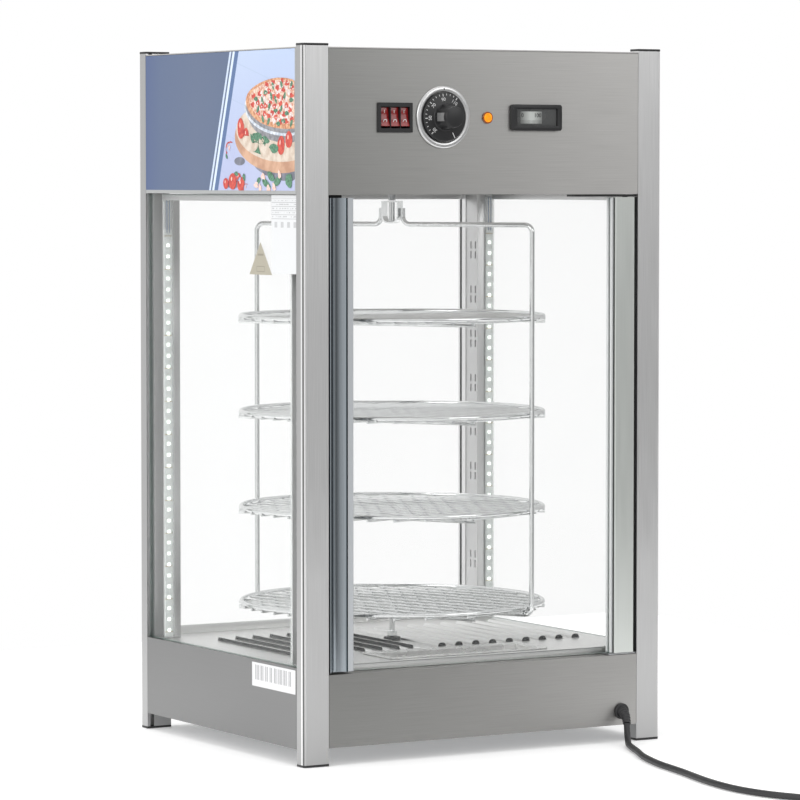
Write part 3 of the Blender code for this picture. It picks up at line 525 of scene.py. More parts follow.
# The posts' colour has painted shade near the surface they stand on and on their side faces, and
# each front post has a painted highlight edge and a painted shade line on its side face beside its front face.
post_side, painted_highlight_edge, painted_shade_line = 0.2252, -0.1836, -0.1866
post_aluminium = Finish("post_aluminium", "aluminium", metallic=1.0)
grain = post_aluminium.noise((1500, 1500, 14), 1.0, 4.0)
on_side, deep = abs(post_aluminium.along(0)) > post_side, post_aluminium.along(1)
shade_near_surface = post_aluminium.node("MapRange", {}, {0: post_aluminium.along(2), 1: 0.0, 2: 0.20})
tone = post_aluminium.blend(grain, 0.66, 0.88)
# Painted shade: darker towards the surface the posts stand on.
tone = post_aluminium.blend(shade_near_surface, 0.44, tone)
# Painted shade: the side faces darker than the front faces.
tone = post_aluminium.blend(on_side, tone, 0.47)
# Painted highlight along the side face near the front corner.
tone = post_aluminium.blend(on_side * (deep < painted_highlight_edge), tone, 0.92)
# Painted shade line at the front corner.
tone = post_aluminium.blend(on_side * (deep < painted_shade_line), tone, 0.16)
post_aluminium.set(base_color=tone, roughness=0.28 + 0.16 * grain, normal=post_aluminium.bump(grain, 0.000006))
black_plastic = speckled("black_plastic", "black_plastic", (0.008, 0.008, 0.009), (0.020, 0.020, 0.021), 1400.0, 3.0,
                         0.30, 0.2, 0.00002)
coat(post_aluminium, *[f"post_{corner}" for corner in corners])
low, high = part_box("post_back_right")
proud = 0.00025
cap_plan = ([(low.x - proud, low.y - proud), (high.x + proud, low.y - proud)]
            + arc(high.x - 0.003, high.y - 0.003, 0.003 + proud, 0, 90, 6) + [(low.x - proud, high.y + proud)])
end_plug = softened(plan_outline([cap_plan], 0.0025, place=(0, 0, 0.00125)), 0.0005)
for corner, (side, end) in corners.items():
    for where, z in (("foot", 0.00135), ("top", high.z - 0.00095)):
        settle(twin(end_plug, side, end, (0, 0, z)), f"post_{where}_plug_{corner}", black_plastic, smooth=35)
bpy.data.objects.remove(end_plug)

# ---------------------------------------------------------------- skirts and bottom cover
# Folded stainless sheets between the posts, with the grain along them. They hide the heater's
# space; the bottom cover is plain zinc-plated sheet on four screws.
def stainless_with_painted_light(name, west, east):
    """Brushed stainless with a painted light gradient along the front, from one tone at the left end to another at the
    right.
    """
    finish = Finish(name, "stainless", metallic=1.0)
    grain = finish.noise((16, 16, 1500), 1.0, 4.0)
    run = finish.node("Math", {"operation": "MULTIPLY_ADD", "use_clamp": True}, {0: finish.along(0), 1: 2.5, 2: 0.5})
    tones = [finish.blend(run, (k * west, k * west, k * west * 0.97), (k * east, k * east * 0.985, k * east * 0.96))
             for k in (0.85, 1.15)]
    finish.set(base_color=finish.blend(grain, *tones), roughness=0.34 + 0.16 * grain,
               normal=finish.bump(grain, 0.000006))
    return finish


# The front and back skirts get a painted light gradient, lighter towards the right.
stainless = stainless_with_painted_light("brushed_stainless", 0.26, 0.40)
zinc_steel = Finish("zinc_plated_steel", "zinc_steel", metallic=1.0)
flake = zinc_steel.node("TexVoronoi", {}, {"Vector": zinc_steel.place(), "Scale": 220.0}, output=1)
flake = zinc_steel.node("RGBToBW", {}, {0: flake})
zinc_grey = zinc_steel.node("Mix", {"data_type": "RGBA"}, {0: 0.12, 6: (0.46, 0.47, 0.48), 7: flake}, output=2)
zinc_steel.set(base_color=zinc_grey, roughness=0.38 + 0.2 * zinc_steel.noise((1, 1, 1), 90.0))
# Painted shade: the side skirts' stainless is painted darker than the front skirts'.
shaded_side_stainless = brushed("shaded_side_stainless", "stainless", 0.225, 0.305, (16, 16, 1500),
                         0.40)
coat(stainless, "front_skirt", "back_skirt")
coat(shaded_side_stainless, "left_skirt", "right_skirt")
coat(zinc_steel, "bottom_cover")


def turned(profile, centre, facing=(0, 0, 1), steps=64):
    """A half section spun about an axis. Its points are radius and distance along the axis."""
    piece = meshed(line_curve([(r, 0, h) for r, h in profile], 0.0))
    bpy.ops.object.mode_set(mode="EDIT")
    bpy.ops.mesh.select_all(action="SELECT")
    bpy.ops.mesh.spin(steps=steps, angle=2 * math.pi, center=(0, 0, 0), axis=(0, 0, 1))
    bpy.ops.mesh.select_all(action="SELECT")
    bpy.ops.mesh.remove_doubles(threshold=0.000002)
    bpy.ops.mesh.normals_make_consistent(inside=False)
    object_mode()
    piece.rotation_euler = Vector((0, 0, 1)).rotation_difference(Vector(facing)).to_euler()
    piece.location = centre
    return piece


def cut(piece, tool, operation="DIFFERENCE"):
    """Takes a tool's shape out of a piece, or adds it."""
    boolean = piece.modifiers.new("cut", "BOOLEAN")
    boolean.operation, boolean.object, boolean.solver = operation, tool, "EXACT"
    pick(piece)
    bpy.ops.object.modifier_apply(modifier="cut")
    bpy.data.objects.remove(tool)
    return piece


# Pan-head screw with a cross recess, made once and copied to each place.
screw = turned([(0, 0.0021), (0.0012, 0.00205), (0.0024, 0.0017), (0.0031, 0.0010), (0.0033, 0.0), (0.0018, 0.0),
                (0.0018, -0.0030), (0, -0.0030)], (0, 0, 0), steps=24)
pick(screw)
cut(screw, block((-0.0016, -0.0003, 0.0011), (0.0016, 0.0003, 0.003)))
cut(screw, block((-0.0003, -0.0016, 0.0011), (0.0003, 0.0016, 0.003)))


def screws(name, places, facing, finish):
    """One screw at each place, as a single piece."""
    made = []
    for k, place in enumerate(places):
        one = screw.copy()
        one.data = screw.data.copy()
        bpy.context.collection.objects.link(one)
        turn = Vector((0, 0, 1)).rotation_difference(Vector(facing)).to_matrix().to_4x4()
        one.matrix_world = Matrix.Translation(place) @ turn @ Matrix.Rotation(0.7 * k, 4, "Z")
        pick(one)
        apply_place()
        made.append(one)
    return settle(joined(made), name, finish, smooth=35)


back_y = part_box("back_skirt")[1].y
screws("back_skirt_screws", [(x, back_y, z) for x in (-0.17, 0.17) for z in (0.034, 0.090)], (0, 1, 0), zinc_steel)
under_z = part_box("bottom_cover")[0].z
screws("bottom_cover_screws", [(x, y, under_z) for x in (-0.18, 0.18) for y in (-0.13, 0.13)], (0, 0, -1), zinc_steel)

# Paper sticker on the left skirt, plain stripes only.
stripe_paper = Finish("striped_paper", "print")
run = stripe_paper.along(1)
stripe = ((run * 310.0) % 1.0 < 0.42) * ((run * 97.0) % 1.0 > 0.25) * (run > -0.1655) * (run < -0.080)
stripe = stripe * (stripe_paper.along(2) > 0.0835) * (stripe_paper.along(2) < 0.0995)
stripe_paper.set(base_color=stripe_paper.blend(stripe, (0.78, 0.78, 0.79), (0.22, 0.22, 0.23)), roughness=0.5)
upright_left = Matrix(((0, 0, -1), (-1, 0, 0), (0, 1, 0))).to_euler()
skirt_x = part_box("left_skirt")[0].x
sticker = plan_outline([rounded(0.075, 0.0762, 0.1712, 0.1020, 0.0008)], 0.00012, upright_left,
                       (skirt_x - 0.0001, 0, 0))
settle(sticker, "skirt_sticker", stripe_paper)

# ---------------------------------------------------------------- floor
# Satin stainless floor, pressed so that the heat comes up: hoods open on one side in the left
# half, half-round ribs in the right half, with painted shadow in the hoods' open sides and on the ribs' ends. The sheet
# folds down at the sill.
satin_floor = brushed("satin_floor", "stainless", (0.74, 0.74, 0.73), (0.84, 0.84, 0.83), (600, 18, 600), 0.30,
                      0.0000005)
shade = speckled("louvre_shadow", "stainless", (0.006, 0.006, 0.007), (0.045, 0.045, 0.047), 900.0, 3.0, 0.45, 0.2,
                 metallic=0.6)


def choose(piece, kind, test):
    """Goes into edit mode with only the vertices, edges or faces that pass a test."""
    pick(piece)
    bpy.ops.object.mode_set(mode="EDIT")
    bpy.ops.mesh.select_mode(type=kind)
    bpy.ops.mesh.select_all(action="DESELECT")
    object_mode()
    mesh = piece.data
    if kind == "FACE":
        for face in mesh.polygons:
            face.select = test(face.center, face.normal)
    elif kind == "EDGE":
        for edge in mesh.edges:
            edge.select = test(*(mesh.vertices[i].co for i in edge.vertices))
    else:
        for vertex in mesh.vertices:
            vertex.select = test(vertex.co)
    bpy.ops.object.mode_set(mode="EDIT")


def shadowed(louvre, test, border, sunk=0.0):
    """Insets the faces that pass a test and gives them the dark finish of painted shadow."""
    louvre.data.materials.append(satin_floor.material)
    louvre.data.materials.append(shade.material)
    choose(louvre, "FACE", test)
    bpy.ops.mesh.inset(thickness=border)
    if sunk:
        bpy.ops.mesh.extrude_region_move(TRANSFORM_OT_translate={"value": (sunk, 0, 0)})
    louvre.active_material_index = 1
    bpy.ops.object.material_slot_assign()
    object_mode()


floor_low, floor_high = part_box("heat_floor")
floor_top, sheet = 0.105, 0.0012
plate = [(-0.2178, floor_low.y), (0.2178, floor_low.y), (0.2178, 0.1736), (0.1956, 0.1736), (0.1956, floor_high.y),
         (-0.1956, floor_high.y), (-0.1956, 0.1736), (-0.2178, 0.1736)]
floor_sheet = plan_outline([plate, rounded(-0.095, -0.153, 0.095, -0.099, 0.008)], sheet,
                           place=(0, 0, floor_top - sheet / 2))
sill = pad((-0.1956, floor_low.y, 0.0974), (0.1956, floor_low.y + sheet, floor_top - 0.0003), 0.0002)
upstand = pad((-0.1946, floor_high.y - sheet, floor_top - 0.0003), (0.1946, floor_high.y, floor_high.z), 0.0003)
hood_high, hood_wide = 0.0040, 0.0105
hood = block((0, -0.079, floor_top - 0.0006), (hood_wide, 0.100, floor_top + hood_high))
choose(hood, "VERT", lambda v: v.x < 0.001 and v.z > floor_top + 0.001)
bpy.ops.transform.translate(value=(0, 0, -(hood_high - 0.0007)))
object_mode()
choose(hood, "EDGE", lambda a, b: abs(a.y - b.y) < 1e-6 and min(a.z, b.z) > floor_top)
bpy.ops.mesh.bevel(offset=0.0036, segments=5, affect="EDGES", profile=0.5)
object_mode()
shadowed(hood, lambda c, n: n.x > 0.9, 0.00055, -0.0016)
dome = block((-0.0054, -0.079, floor_top - 0.0006), (0.0054, 0.100, floor_top + 0.0046))
choose(dome, "EDGE", lambda a, b: abs(a.x - b.x) < 1e-6 and min(a.z, b.z) > floor_top)
bpy.ops.mesh.bevel(offset=0.0044, segments=6, affect="EDGES", profile=0.5)
object_mode()
shadowed(dome, lambda c, n: n.y < -0.9, 0.0004)
louvre_pitch = 0.022
hoods = []
for k in range(9):
    hoods.append(twin(dome, shift=(0.011 + louvre_pitch * k, 0, 0)))
    if k < 8:
        hoods.append(twin(hood, -1, shift=(-0.0105 - louvre_pitch * k - (0.0045 if k == 0 else 0.0), 0, 0)))
bpy.data.objects.remove(hood)
bpy.data.objects.remove(dome)
hoods = joined(hoods)
hoods.name = "floor_louvres"
pick(hoods)
bpy.ops.object.shade_smooth_by_angle(angle=math.radians(50))
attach(hoods, "root")
floor_piece = settle(joined([floor_sheet, sill, upstand]), "floor_sheet", satin_floor, smooth=35)
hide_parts("heat_floor")

# Heating element under the floor: a bent tube in a dark oxidised sheath, clamped to the base.
element = Finish("heater_sheath", "zinc_steel", metallic=0.8)
bloom = element.noise((30, 30, 30), 1.0, 3.0)
element.set(base_color=element.blend(bloom, (0.045, 0.050, 0.040), (0.13, 0.10, 0.075)), roughness=0.5 + 0.2 * bloom)
coat(element, "floor_heater")

# ---------------------------------------------------------------- water pan
# Pressed stainless pan for the damp air, loose in its cut-out: a flat lip with a turned-down rim
# and a shallow bowl with round corners.
pan_low, pan_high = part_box("water_pan")
clear_selection()
bpy.ops.mesh.primitive_plane_add(size=1, location=((pan_low.x + pan_high.x) / 2, (pan_low.y + pan_high.y) / 2,
                                                   pan_high.z))
tray = bpy.context.object
tray.scale = (pan_high.x - pan_low.x, pan_high.y - pan_low.y, 1)
apply_place()
bpy.ops.object.mode_set(mode="EDIT")
bpy.ops.mesh.select_all(action="SELECT")
bpy.ops.mesh.bevel(offset=0.0090, segments=7, affect="VERTICES")
bpy.ops.mesh.select_all(action="SELECT")
bpy.ops.mesh.inset(thickness=0.0078)
bpy.ops.mesh.inset(thickness=0.0014)
bpy.ops.transform.translate(value=(0, 0, -0.0016))
bpy.ops.mesh.extrude_region_move(TRANSFORM_OT_translate={"value": (0, 0, -0.0130)})
bpy.ops.mesh.inset(thickness=0.0030)
bpy.ops.transform.translate(value=(0, 0, -0.0028))
object_mode()
wall_gauge = tray.modifiers.new("gauge", "SOLIDIFY")
wall_gauge.thickness, wall_gauge.offset = 0.0009, -1
bpy.ops.object.modifier_apply(modifier="gauge")
softened(tray, 0.0004, 2, 25)
pan_steel = Finish("drawn_stainless", "stainless", metallic=1.0)
draw = pan_steel.noise((40, 40, 40), 1.0, 3.0)
pan_steel.set(base_color=pan_steel.blend(draw, (0.70, 0.70, 0.69), (0.80, 0.80, 0.79)), roughness=0.20 + 0.14 * draw,
              normal=pan_steel.bump(draw, 0.00001))
settle(tray, "water_pan_tray", pan_steel, body="pan", smooth=40)
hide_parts("water_pan")

# ---------------------------------------------------------------- corner columns
# Folded aluminium columns inside the four corners, open towards the side glass. The face towards
# the middle has two rows of paired slots for shelf clips.
column_aluminium = brushed("column_aluminium", "aluminium", 0.50, 0.66, (1100, 1100, 12),
                           0.38)
col_low, col_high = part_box("corner_column_back_right")
fold = 0.0015
section = [(col_high.x, col_low.y), (col_low.x, col_low.y), (col_low.x, col_high.y), (col_high.x, col_high.y),
           (col_high.x, col_high.y - fold), (col_low.x + fold, col_high.y - fold), (col_low.x + fold, col_low.y + fold),
           (col_high.x, col_low.y + fold)]
column = plan_outline([section], col_high.z - col_low.z, place=(0, 0, (col_low.z + col_high.z) / 2))
apply_place()
softened(column, 0.0003, 2)
slots = []
for k in range(9):
    for step in (0.0, 0.0115):
        for y in (0.1525, 0.1625):
            top = 0.549 - 0.052 * k - step
            slots.append(block((col_low.x - 0.002, y - 0.0015, top - 0.0085), (col_low.x + 0.004, y + 0.0015, top)))
cut(column, joined(slots))
for corner, (side, end) in corners.items():
    one = settle(twin(column, side, end), f"slotted_column_{corner}", column_aluminium, smooth=35)
    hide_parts(f"corner_column_{corner}")
bpy.data.objects.remove(column)

# ---------------------------------------------------------------- light bars
# White strip with small LEDs behind a clear snap-on cover, one on each column, and the pair of
# wires that feeds it from the head.
led_low, led_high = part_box("led_bar_back_right")
strip_white = Finish("led_strip", "led")
solder = strip_white.noise((1, 1, 1), 800.0, 3.0)
track = (strip_white.along(2) * (1 / 0.0372)) % 1.0 < 0.03
strip_white.set(base_color=strip_white.blend(track, strip_white.blend(solder, (0.70, 0.72, 0.71), (0.82, 0.84, 0.83)),
                                             (0.45, 0.36, 0.20)), roughness=0.42)
led_glow = Finish("led_lens", "led", emission_strength=2.2)
dot = led_glow.noise((1, 1, 1), 600.0)
led_glow.set(base_color=led_glow.blend(dot, (0.82, 0.90, 0.78), (0.92, 0.97, 0.90)), emission_color=(0.93, 1.0, 0.95),
             roughness=0.25)
clear_cover = Finish("clear_cover", "glass")
rim = clear_cover.node("LayerWeight", {}, {"Blend": 0.35}, output=1)
clear_cover.set(base_color=clear_cover.blend(rim, (0.90, 0.93, 0.92), (0.70, 0.76, 0.74)), roughness=0.12,
                alpha=0.10 + 0.45 * rim)
wire_blue = speckled("wire_blue", "black_plastic", (0.10, 0.17, 0.30), (0.16, 0.24, 0.40), 500.0, rough=0.4)
back = led_high.y
strip = pad((led_low.x + 0.0006, back - 0.0010, led_low.z + 0.001), (led_high.x - 0.0004, back - 0.0002, 0.566), 0.0002)
lens_x = (led_low.x + led_high.x) / 2
diode = block((lens_x - 0.0016, back - 0.0018, 0.1124), (lens_x + 0.0016, back - 0.0009, 0.1156))
choose(diode, "FACE", lambda c, n: n.y < -0.9)
bpy.ops.mesh.inset(thickness=0.0004)
bpy.ops.transform.translate(value=(0, -0.0004, 0))
object_mode()
row = diode.modifiers.new("row", "ARRAY")
row.count, row.use_relative_offset, row.use_constant_offset = 36, False, True
row.constant_offset_displace = (0, 0, 0.0124)
pick(diode)
bpy.ops.object.modifier_apply(modifier="row")
t = 0.0005
cover_section = [(led_low.x, back), (led_low.x, led_low.y), (led_high.x, led_low.y), (led_high.x, back),
                 (led_high.x - t, back), (led_high.x - t, led_low.y + t), (led_low.x + t,
                                                                           led_low.y + t), (led_low.x + t, back)]
cover = plan_outline([cover_section], led_high.z - led_low.z, place=(0, 0, (led_low.z + led_high.z) / 2))
apply_place()
softened(cover, 0.0004, 2)
feed = joined([meshed(line_curve([(lens_x + d, back - 0.0018, 0.562 + 0.0035 * k) for k in range(12)], 0.0006, 2))
               for d in (-0.0016, 0.0016)])
for corner, (side, end) in corners.items():
    settle(twin(strip, side, end), f"led_strip_{corner}", strip_white)
    settle(twin(diode, side, end), f"led_lenses_{corner}", led_glow, smooth=20)
    settle(twin(feed, side, end), f"led_wires_{corner}", wire_blue, smooth=40)
    one = settle(twin(cover, side, end), f"led_cover_{corner}", clear_cover, smooth=35)
    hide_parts(f"led_bar_{corner}")
for spare in (strip, diode, cover, feed):
    bpy.data.objects.remove(spare)

# ---------------------------------------------------------------- fixed glass
# Toughened glass, 4 mm, dropped into the grooves of the posts on three sides. The cut edges are
# greener and duller than the faces.
def glass_finish(name, thin_axis):
    finish = Finish(name, "glass")
    gloss = finish.node("Fresnel", {}, {"IOR": 1.45})
    gloss = gloss.calc("MINIMUM", gloss, 0.25)
    edge = finish.facing(thin_axis) < 0.5
    smear = finish.noise((14, 14, 9), 1.0, 3.0)
    finish.set(base_color=finish.blend(edge, (0.93, 0.96, 0.95), (0.30, 0.50, 0.43)), roughness=0.02 + 0.03 * smear,
               alpha=0.025 + 0.012 * smear + 0.55 * gloss * gloss + 0.5 * edge)
    return finish


side_glass = glass_finish("side_glass", 0)
flat_glass = glass_finish("front_and_back_glass", 1)
coat(side_glass, "left_glass", "right_glass")
coat(flat_glass, "back_glass")

# Aluminium channel along the top edge of the fixed glass, open downwards.
for name, low, high in (("left", (-0.2181, -0.1480, 0.5985), (-0.2160, 0.1480, 0.6056)),
                        ("right", (0.2160, -0.1480, 0.5985), (0.2181, 0.1480, 0.6056)),
                        ("back", (-0.1955, 0.1805, 0.5985), (0.1955, 0.1826, 0.6056))):
    settle(pad(low, high, 0.0004), f"glass_channel_{name}", column_aluminium, smooth=35)

# Plain paper label with grey rules, and a plain tan triangle, both on the left glass.
glass_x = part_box("left_glass")[0].x
ruled_paper = Finish("ruled_paper", "print")
level, across = ruled_paper.along(2), ruled_paper.along(1)
rules = (((level - 0.580) * 230.0) % 1.0 < 0.14) * (level > 0.580) * (level < 0.602)
words = (((level - 0.580) * 230.0) % 1.0 > 0.45) * (((level - 0.580) * 230.0) % 1.0 < 0.75) * (level > 0.580)
words = words * (level < 0.6) * (ruled_paper.noise((1, 260, 230), 1.0) > 0.52)
boxes = (abs(((across + 0.116) * 72.0) % 1.0 - 0.5) < 0.22) * (level > 0.571) * (level < 0.577)
ink = ruled_paper.node("Math", {"operation": "MAXIMUM"}, {0: rules, 1: 0.8 * words + 0.7 * boxes})
ruled_paper.set(base_color=ruled_paper.blend(0.55 * ink, (0.76, 0.77, 0.78), (0.20, 0.20, 0.21)), roughness=0.5)
label = plan_outline([rounded(0.1130, 0.5220, 0.1745, 0.6055, 0.0008)], 0.00012, upright_left,
                     (glass_x - 0.00016, 0, 0))
settle(label, "glass_label", ruled_paper)
tan_film = Finish("tan_film", "print")
band_height = tan_film.along(2)
bar = (abs(band_height - 0.5415) < 0.0011) * (abs(tan_film.along(1) + 0.0888) < 0.0065)
frame_line = (abs(band_height - 0.5262) < 0.0030) * (abs(tan_film.along(1) + 0.0888) < 0.0090)
frame_line = frame_line - (abs(band_height - 0.5262) < 0.0024) * (abs(tan_film.along(1) + 0.0888) < 0.0084)
tan_film.set(base_color=tan_film.blend(0.6 * bar + 0.8 * frame_line, (0.42, 0.39, 0.31), (0.20, 0.18, 0.14)),
             roughness=0.4)
triangle = plan_outline([[(0.0636, 0.5200), (0.1142, 0.5200), (0.0885, 0.5550)]], 0.00012, upright_left,
                        (glass_x - 0.00016, 0, 0))
settle(triangle, "glass_triangle", tan_film)

# ---------------------------------------------------------------- control head
# Folded stainless panels round the wiring space, a ceiling sheet under it and a vented cover on
# top. The gear motor hangs on a zinc-plated bracket over the middle.
# The head panels get a painted light gradient, lighter towards the right.
head_stainless = stainless_with_painted_light("head_stainless", 0.325, 0.60)
coat(head_stainless, "header_front_panel", "header_back_panel")
cover_stainless = brushed("cover_stainless", "stainless", (0.50, 0.49, 0.48), (0.62, 0.61, 0.60), (14, 1400, 14), 0.38)
coat(cover_stainless, "top_cover", "cavity_ceiling")
coat(zinc_steel, "gear_motor")
back_y, top_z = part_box("header_back_panel")[1].y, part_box("top_cover")[1].z
screws("head_back_screws", [(x, back_y, z) for x in (-0.175, 0.175) for z in (0.622, 0.745)], (0, 1, 0), zinc_steel)
screws("top_cover_screws", [(x, y, top_z) for x in (-0.185, 0.185) for y in (-0.12, 0.12)], (0, 0, 1), zinc_steel)

# ---------------------------------------------------------------- side signs
# Steel side panels of the head with a printed picture: a slate-blue field, two slanted white
# lines and a pizza on a board. The design is a generic one, with no lettering.
sign = Finish("sign_print", "print")
sign_back, sign_front, sign_low, sign_high = 0.1735, -0.1712, 0.6102, 0.7600
span, tall = sign_back - sign_front, sign_high - sign_low
over = (sign_back - sign.along(1)) / span
down = (sign_high - sign.along(2)) / tall
lean = over + 0.14 * down - 0.58
cloud = sign.noise((9, 9, 9), 1.0, 3.0)
slate = sign.node("ValToRGB", {"stops": [(0.0, (0.058, 0.098, 0.234)), (0.10, (0.082, 0.126, 0.237)),
                                         (0.35, (0.100, 0.140, 0.237)), (1.0, (0.074, 0.120, 0.224))]}, {0: over})
slate = sign.blend(0.35 * cloud, slate, (0.125, 0.162, 0.256))
pale = sign.node("ValToRGB", {"stops": [(0.0, (0.47, 0.58, 0.80)), (1.0, (0.42, 0.45, 0.70))]}, {0: down})
plank = (((over * 0.35 - down * 0.6) * 6.0) % 1.0) < 0.035
pale = sign.blend(0.35 * plank, sign.blend(0.5 * cloud, pale, (0.60, 0.66, 0.80)), (0.40, 0.50, 0.66))
picture = slate
for start, tone in ((0.0, (0.62, 0.72, 0.90)), (0.0115, None), (0.021, (0.70, 0.80, 0.95)),
                    (0.035, (0.090, 0.160, 0.330)),
                    (0.060, pale)):
    picture = sign.blend(lean > start, picture, tone or slate)
framed = (over > 0.0) * (over < 1.0) * (down > 0.0) * (down < 1.0) * (sign.facing(0) > 0.7)
sign.set(base_color=sign.blend(framed, (0.38, 0.39, 0.39), picture), roughness=0.34 + 0.08 * cloud,
         normal=sign.bump(sign.noise((1, 1, 1), 900.0), 0.00001))
coat(sign, "sign_left", "sign_right")


def ink_finish(name, dark, light, scale, detail=3.0):
    finish = Finish(name, "print")
    spots = finish.noise((1, 1, 1), scale, detail)
    spots = finish.node("MapRange", {}, {0: spots, 1: 0.38, 2: 0.62})
    finish.set(base_color=finish.blend(spots, dark, light), roughness=0.36 + 0.08 * spots)
    return finish


inks = {
    "shadow": ink_finish("ink_shadow", (0.15, 0.16, 0.20), (0.24, 0.25, 0.31), 90.0),
    "board_side": ink_finish("ink_board_side", (0.50, 0.27, 0.17), (0.68, 0.42, 0.28), 60.0),
    "board_top": ink_finish("ink_board_top", (0.60, 0.48, 0.38), (0.76, 0.66, 0.56), 120.0),
    "pan_edge": ink_finish("ink_pan_edge", (0.46, 0.52, 0.60), (0.80, 0.84, 0.90), 200.0),
    "pan_base": ink_finish("ink_pan_base", (0.20, 0.20, 0.22), (0.34, 0.34, 0.36), 200.0),
    "crust": ink_finish("ink_crust", (0.52, 0.20, 0.10), (0.80, 0.46, 0.26), 260.0),
    "cheese": ink_finish("ink_cheese", (0.62, 0.26, 0.17), (0.85, 0.68, 0.55), 330.0),
    "tomato": ink_finish("ink_tomato", (0.50, 0.035, 0.030), (0.70, 0.10, 0.06), 240.0),
    "shine": ink_finish("ink_shine", (0.85, 0.50, 0.42), (0.92, 0.72, 0.64), 400.0),
    "leaf": ink_finish("ink_leaf", (0.040, 0.13, 0.07), (0.13, 0.32, 0.20), 420.0),
    "cream": ink_finish("ink_cream", (0.70, 0.56, 0.52), (0.88, 0.80, 0.78), 400.0),
}
printed = []
layer = 0


def blot(ink, shapes):
    """Closed shapes of one ink, given as fractions across and down the picture."""
    global layer
    outlines = []
    for shape in shapes:
        points = [(min(max(u, 0.0), 1.0) * span - sign_back, sign_high - min(max(v, 0.0), 1.0) * tall) for u,
                  v in shape]
        outlines.append(points)
    layer += 1
    sign_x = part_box("sign_left")[0].x
    piece = plan_outline(outlines, 0.00003, upright_left, (sign_x - 0.00004 - 0.00003 * layer, 0, 0))
    apply_place()
    piece.data.materials.append(inks[ink].material)
    printed.append(piece)


def oval(u, v, across, high, lean=0.0, points=24, wobble=0.0, pointed=False):
    """An oval about a point, which may lean, waver or have a leaf's two points."""
    made = []
    for k in range(points):
        a = 2 * math.pi * k / points
        swell = 1.0 + wobble * math.sin(3 * a + 40 * u) + 0.6 * wobble * math.sin(5 * a + 25 * v)
        x = across * math.cos(a) * swell
        y = high * math.sin(a) * swell * (abs(math.sin(a)) ** 0.5 if pointed else 1.0)
        x, y = x * math.cos(lean) - y * math.sin(lean) * 0.43, x * math.sin(lean) * 2.3 + y * math.cos(lean)
        made.append((u + x, v + y))
    return made


def scattered(count, u, v, across, high, apart, seed):
    """Places inside an oval that keep their distance from each other."""
    draw = random.Random(seed)
    places = []
    for _ in range(4000):
        a, r = draw.uniform(0, 2 * math.pi), math.sqrt(draw.random())
        place = (u + across * r * math.cos(a), v + high * r * math.sin(a))
        if place[0] < 0.985 and all(math.hypot(place[0] - q[0], (place[1] - q[1]) * 0.43) > apart for q in places):
            places.append(place)
        if len(places) == count:
            break
    return places


blot("shadow", [oval(0.93, 0.735, 0.235, 0.195, 0.06)])
blot("shadow", [oval(0.645, 0.79, 0.035, 0.030), oval(0.60, 0.955, 0.05, 0.03)])
blot("board_side", [oval(0.885, 0.640, 0.272, 0.235, 0.05, 40)])
blot("board_top", [oval(0.885, 0.590, 0.262, 0.205, 0.05, 40)])
blot("pan_base", [oval(0.925, 0.475, 0.225, 0.185, 0.05, 36)])
blot("pan_edge", [oval(0.920, 0.425, 0.242, 0.188, 0.05, 40)])
blot("pan_base", [oval(0.922, 0.415, 0.234, 0.178, 0.05, 40)])
blot("crust", [oval(0.918, 0.385, 0.228, 0.180, 0.05, 44, 0.015)])
blot("cheese", [oval(0.918, 0.375, 0.205, 0.155, 0.05, 44, 0.02)])
blot("cream", [oval(u, v, 0.013, 0.020, 0.4, 12, 0.25) for u, v in scattered(34, 0.94, 0.38, 0.185, 0.140, 0.022, 3)])
blot("tomato", [oval(u, v, 0.012, 0.020, 0.0, 14, 0.2) for u, v in scattered(34, 0.92, 0.37, 0.190, 0.145, 0.023, 8)])
blot("leaf", [oval(u, v, 0.014, 0.017, 2.1 * k, 12, 0.1, True)
              for k, (u, v) in enumerate(scattered(20, 0.93, 0.39, 0.185, 0.145, 0.030, 5))])
blot("cream", [oval(u, v, 0.004, 0.006, 0.0, 8, 0.3) for u, v in scattered(60, 0.93, 0.37, 0.195, 0.150, 0.012, 21)])
tomatoes = [(0.655, 0.555, 0.022, 0.075, -0.10), (0.690, 0.600, 0.016, 0.050, -0.15), (0.585, 0.715, 0.028, 0.070, 0.0),
            (0.570, 0.690, 0.014, 0.040, 0.2), (0.915, 0.680, 0.023, 0.068, 0.12), (0.965, 0.640, 0.022, 0.060, 0.12),
            (0.600, 0.935, 0.026, 0.060, 0.3), (0.655, 0.955, 0.024, 0.055, -0.3), (0.555, 0.950, 0.018, 0.040, 0.2),
            (0.690, 0.985, 0.018, 0.035, 0.0), (0.640, 0.905, 0.014, 0.030, 0.3)]
blot("tomato", [oval(u, v, a, b, tilt, 20, 0.02) for u, v, a, b, tilt in tomatoes])
blot("shine", [oval(u - a * 0.25, v - b * 0.3, a * 0.16, b * 0.28, tilt, 10) for u, v, a, b, tilt in tomatoes])
blot("leaf", [oval(u, v, a, b, tilt, 14, 0.08, True) for u, v, a, b, tilt in (
    (0.770, 0.625, 0.040, 0.036, 0.3), (0.745, 0.685, 0.028, 0.034, -0.5), (0.790, 0.690, 0.030, 0.042, 1.1),
    (0.815, 0.640, 0.026, 0.026, 0.2), (0.870, 0.700, 0.030, 0.034, 0.1), (0.730, 0.630, 0.018, 0.020, 0.9),
    (0.560, 0.755, 0.010, 0.012, 1.0), (0.850, 0.900, 0.026, 0.030, 0.5), (0.890, 0.935, 0.028, 0.030, -0.4),
    (0.820, 0.950, 0.030, 0.026, 0.4), (0.770, 0.930, 0.016, 0.020, -0.6), (0.965, 0.930, 0.024, 0.050, 0.9),
    (0.625, 0.880, 0.014, 0.016, 0.2), (0.675, 0.905, 0.012, 0.020, 1.2))])
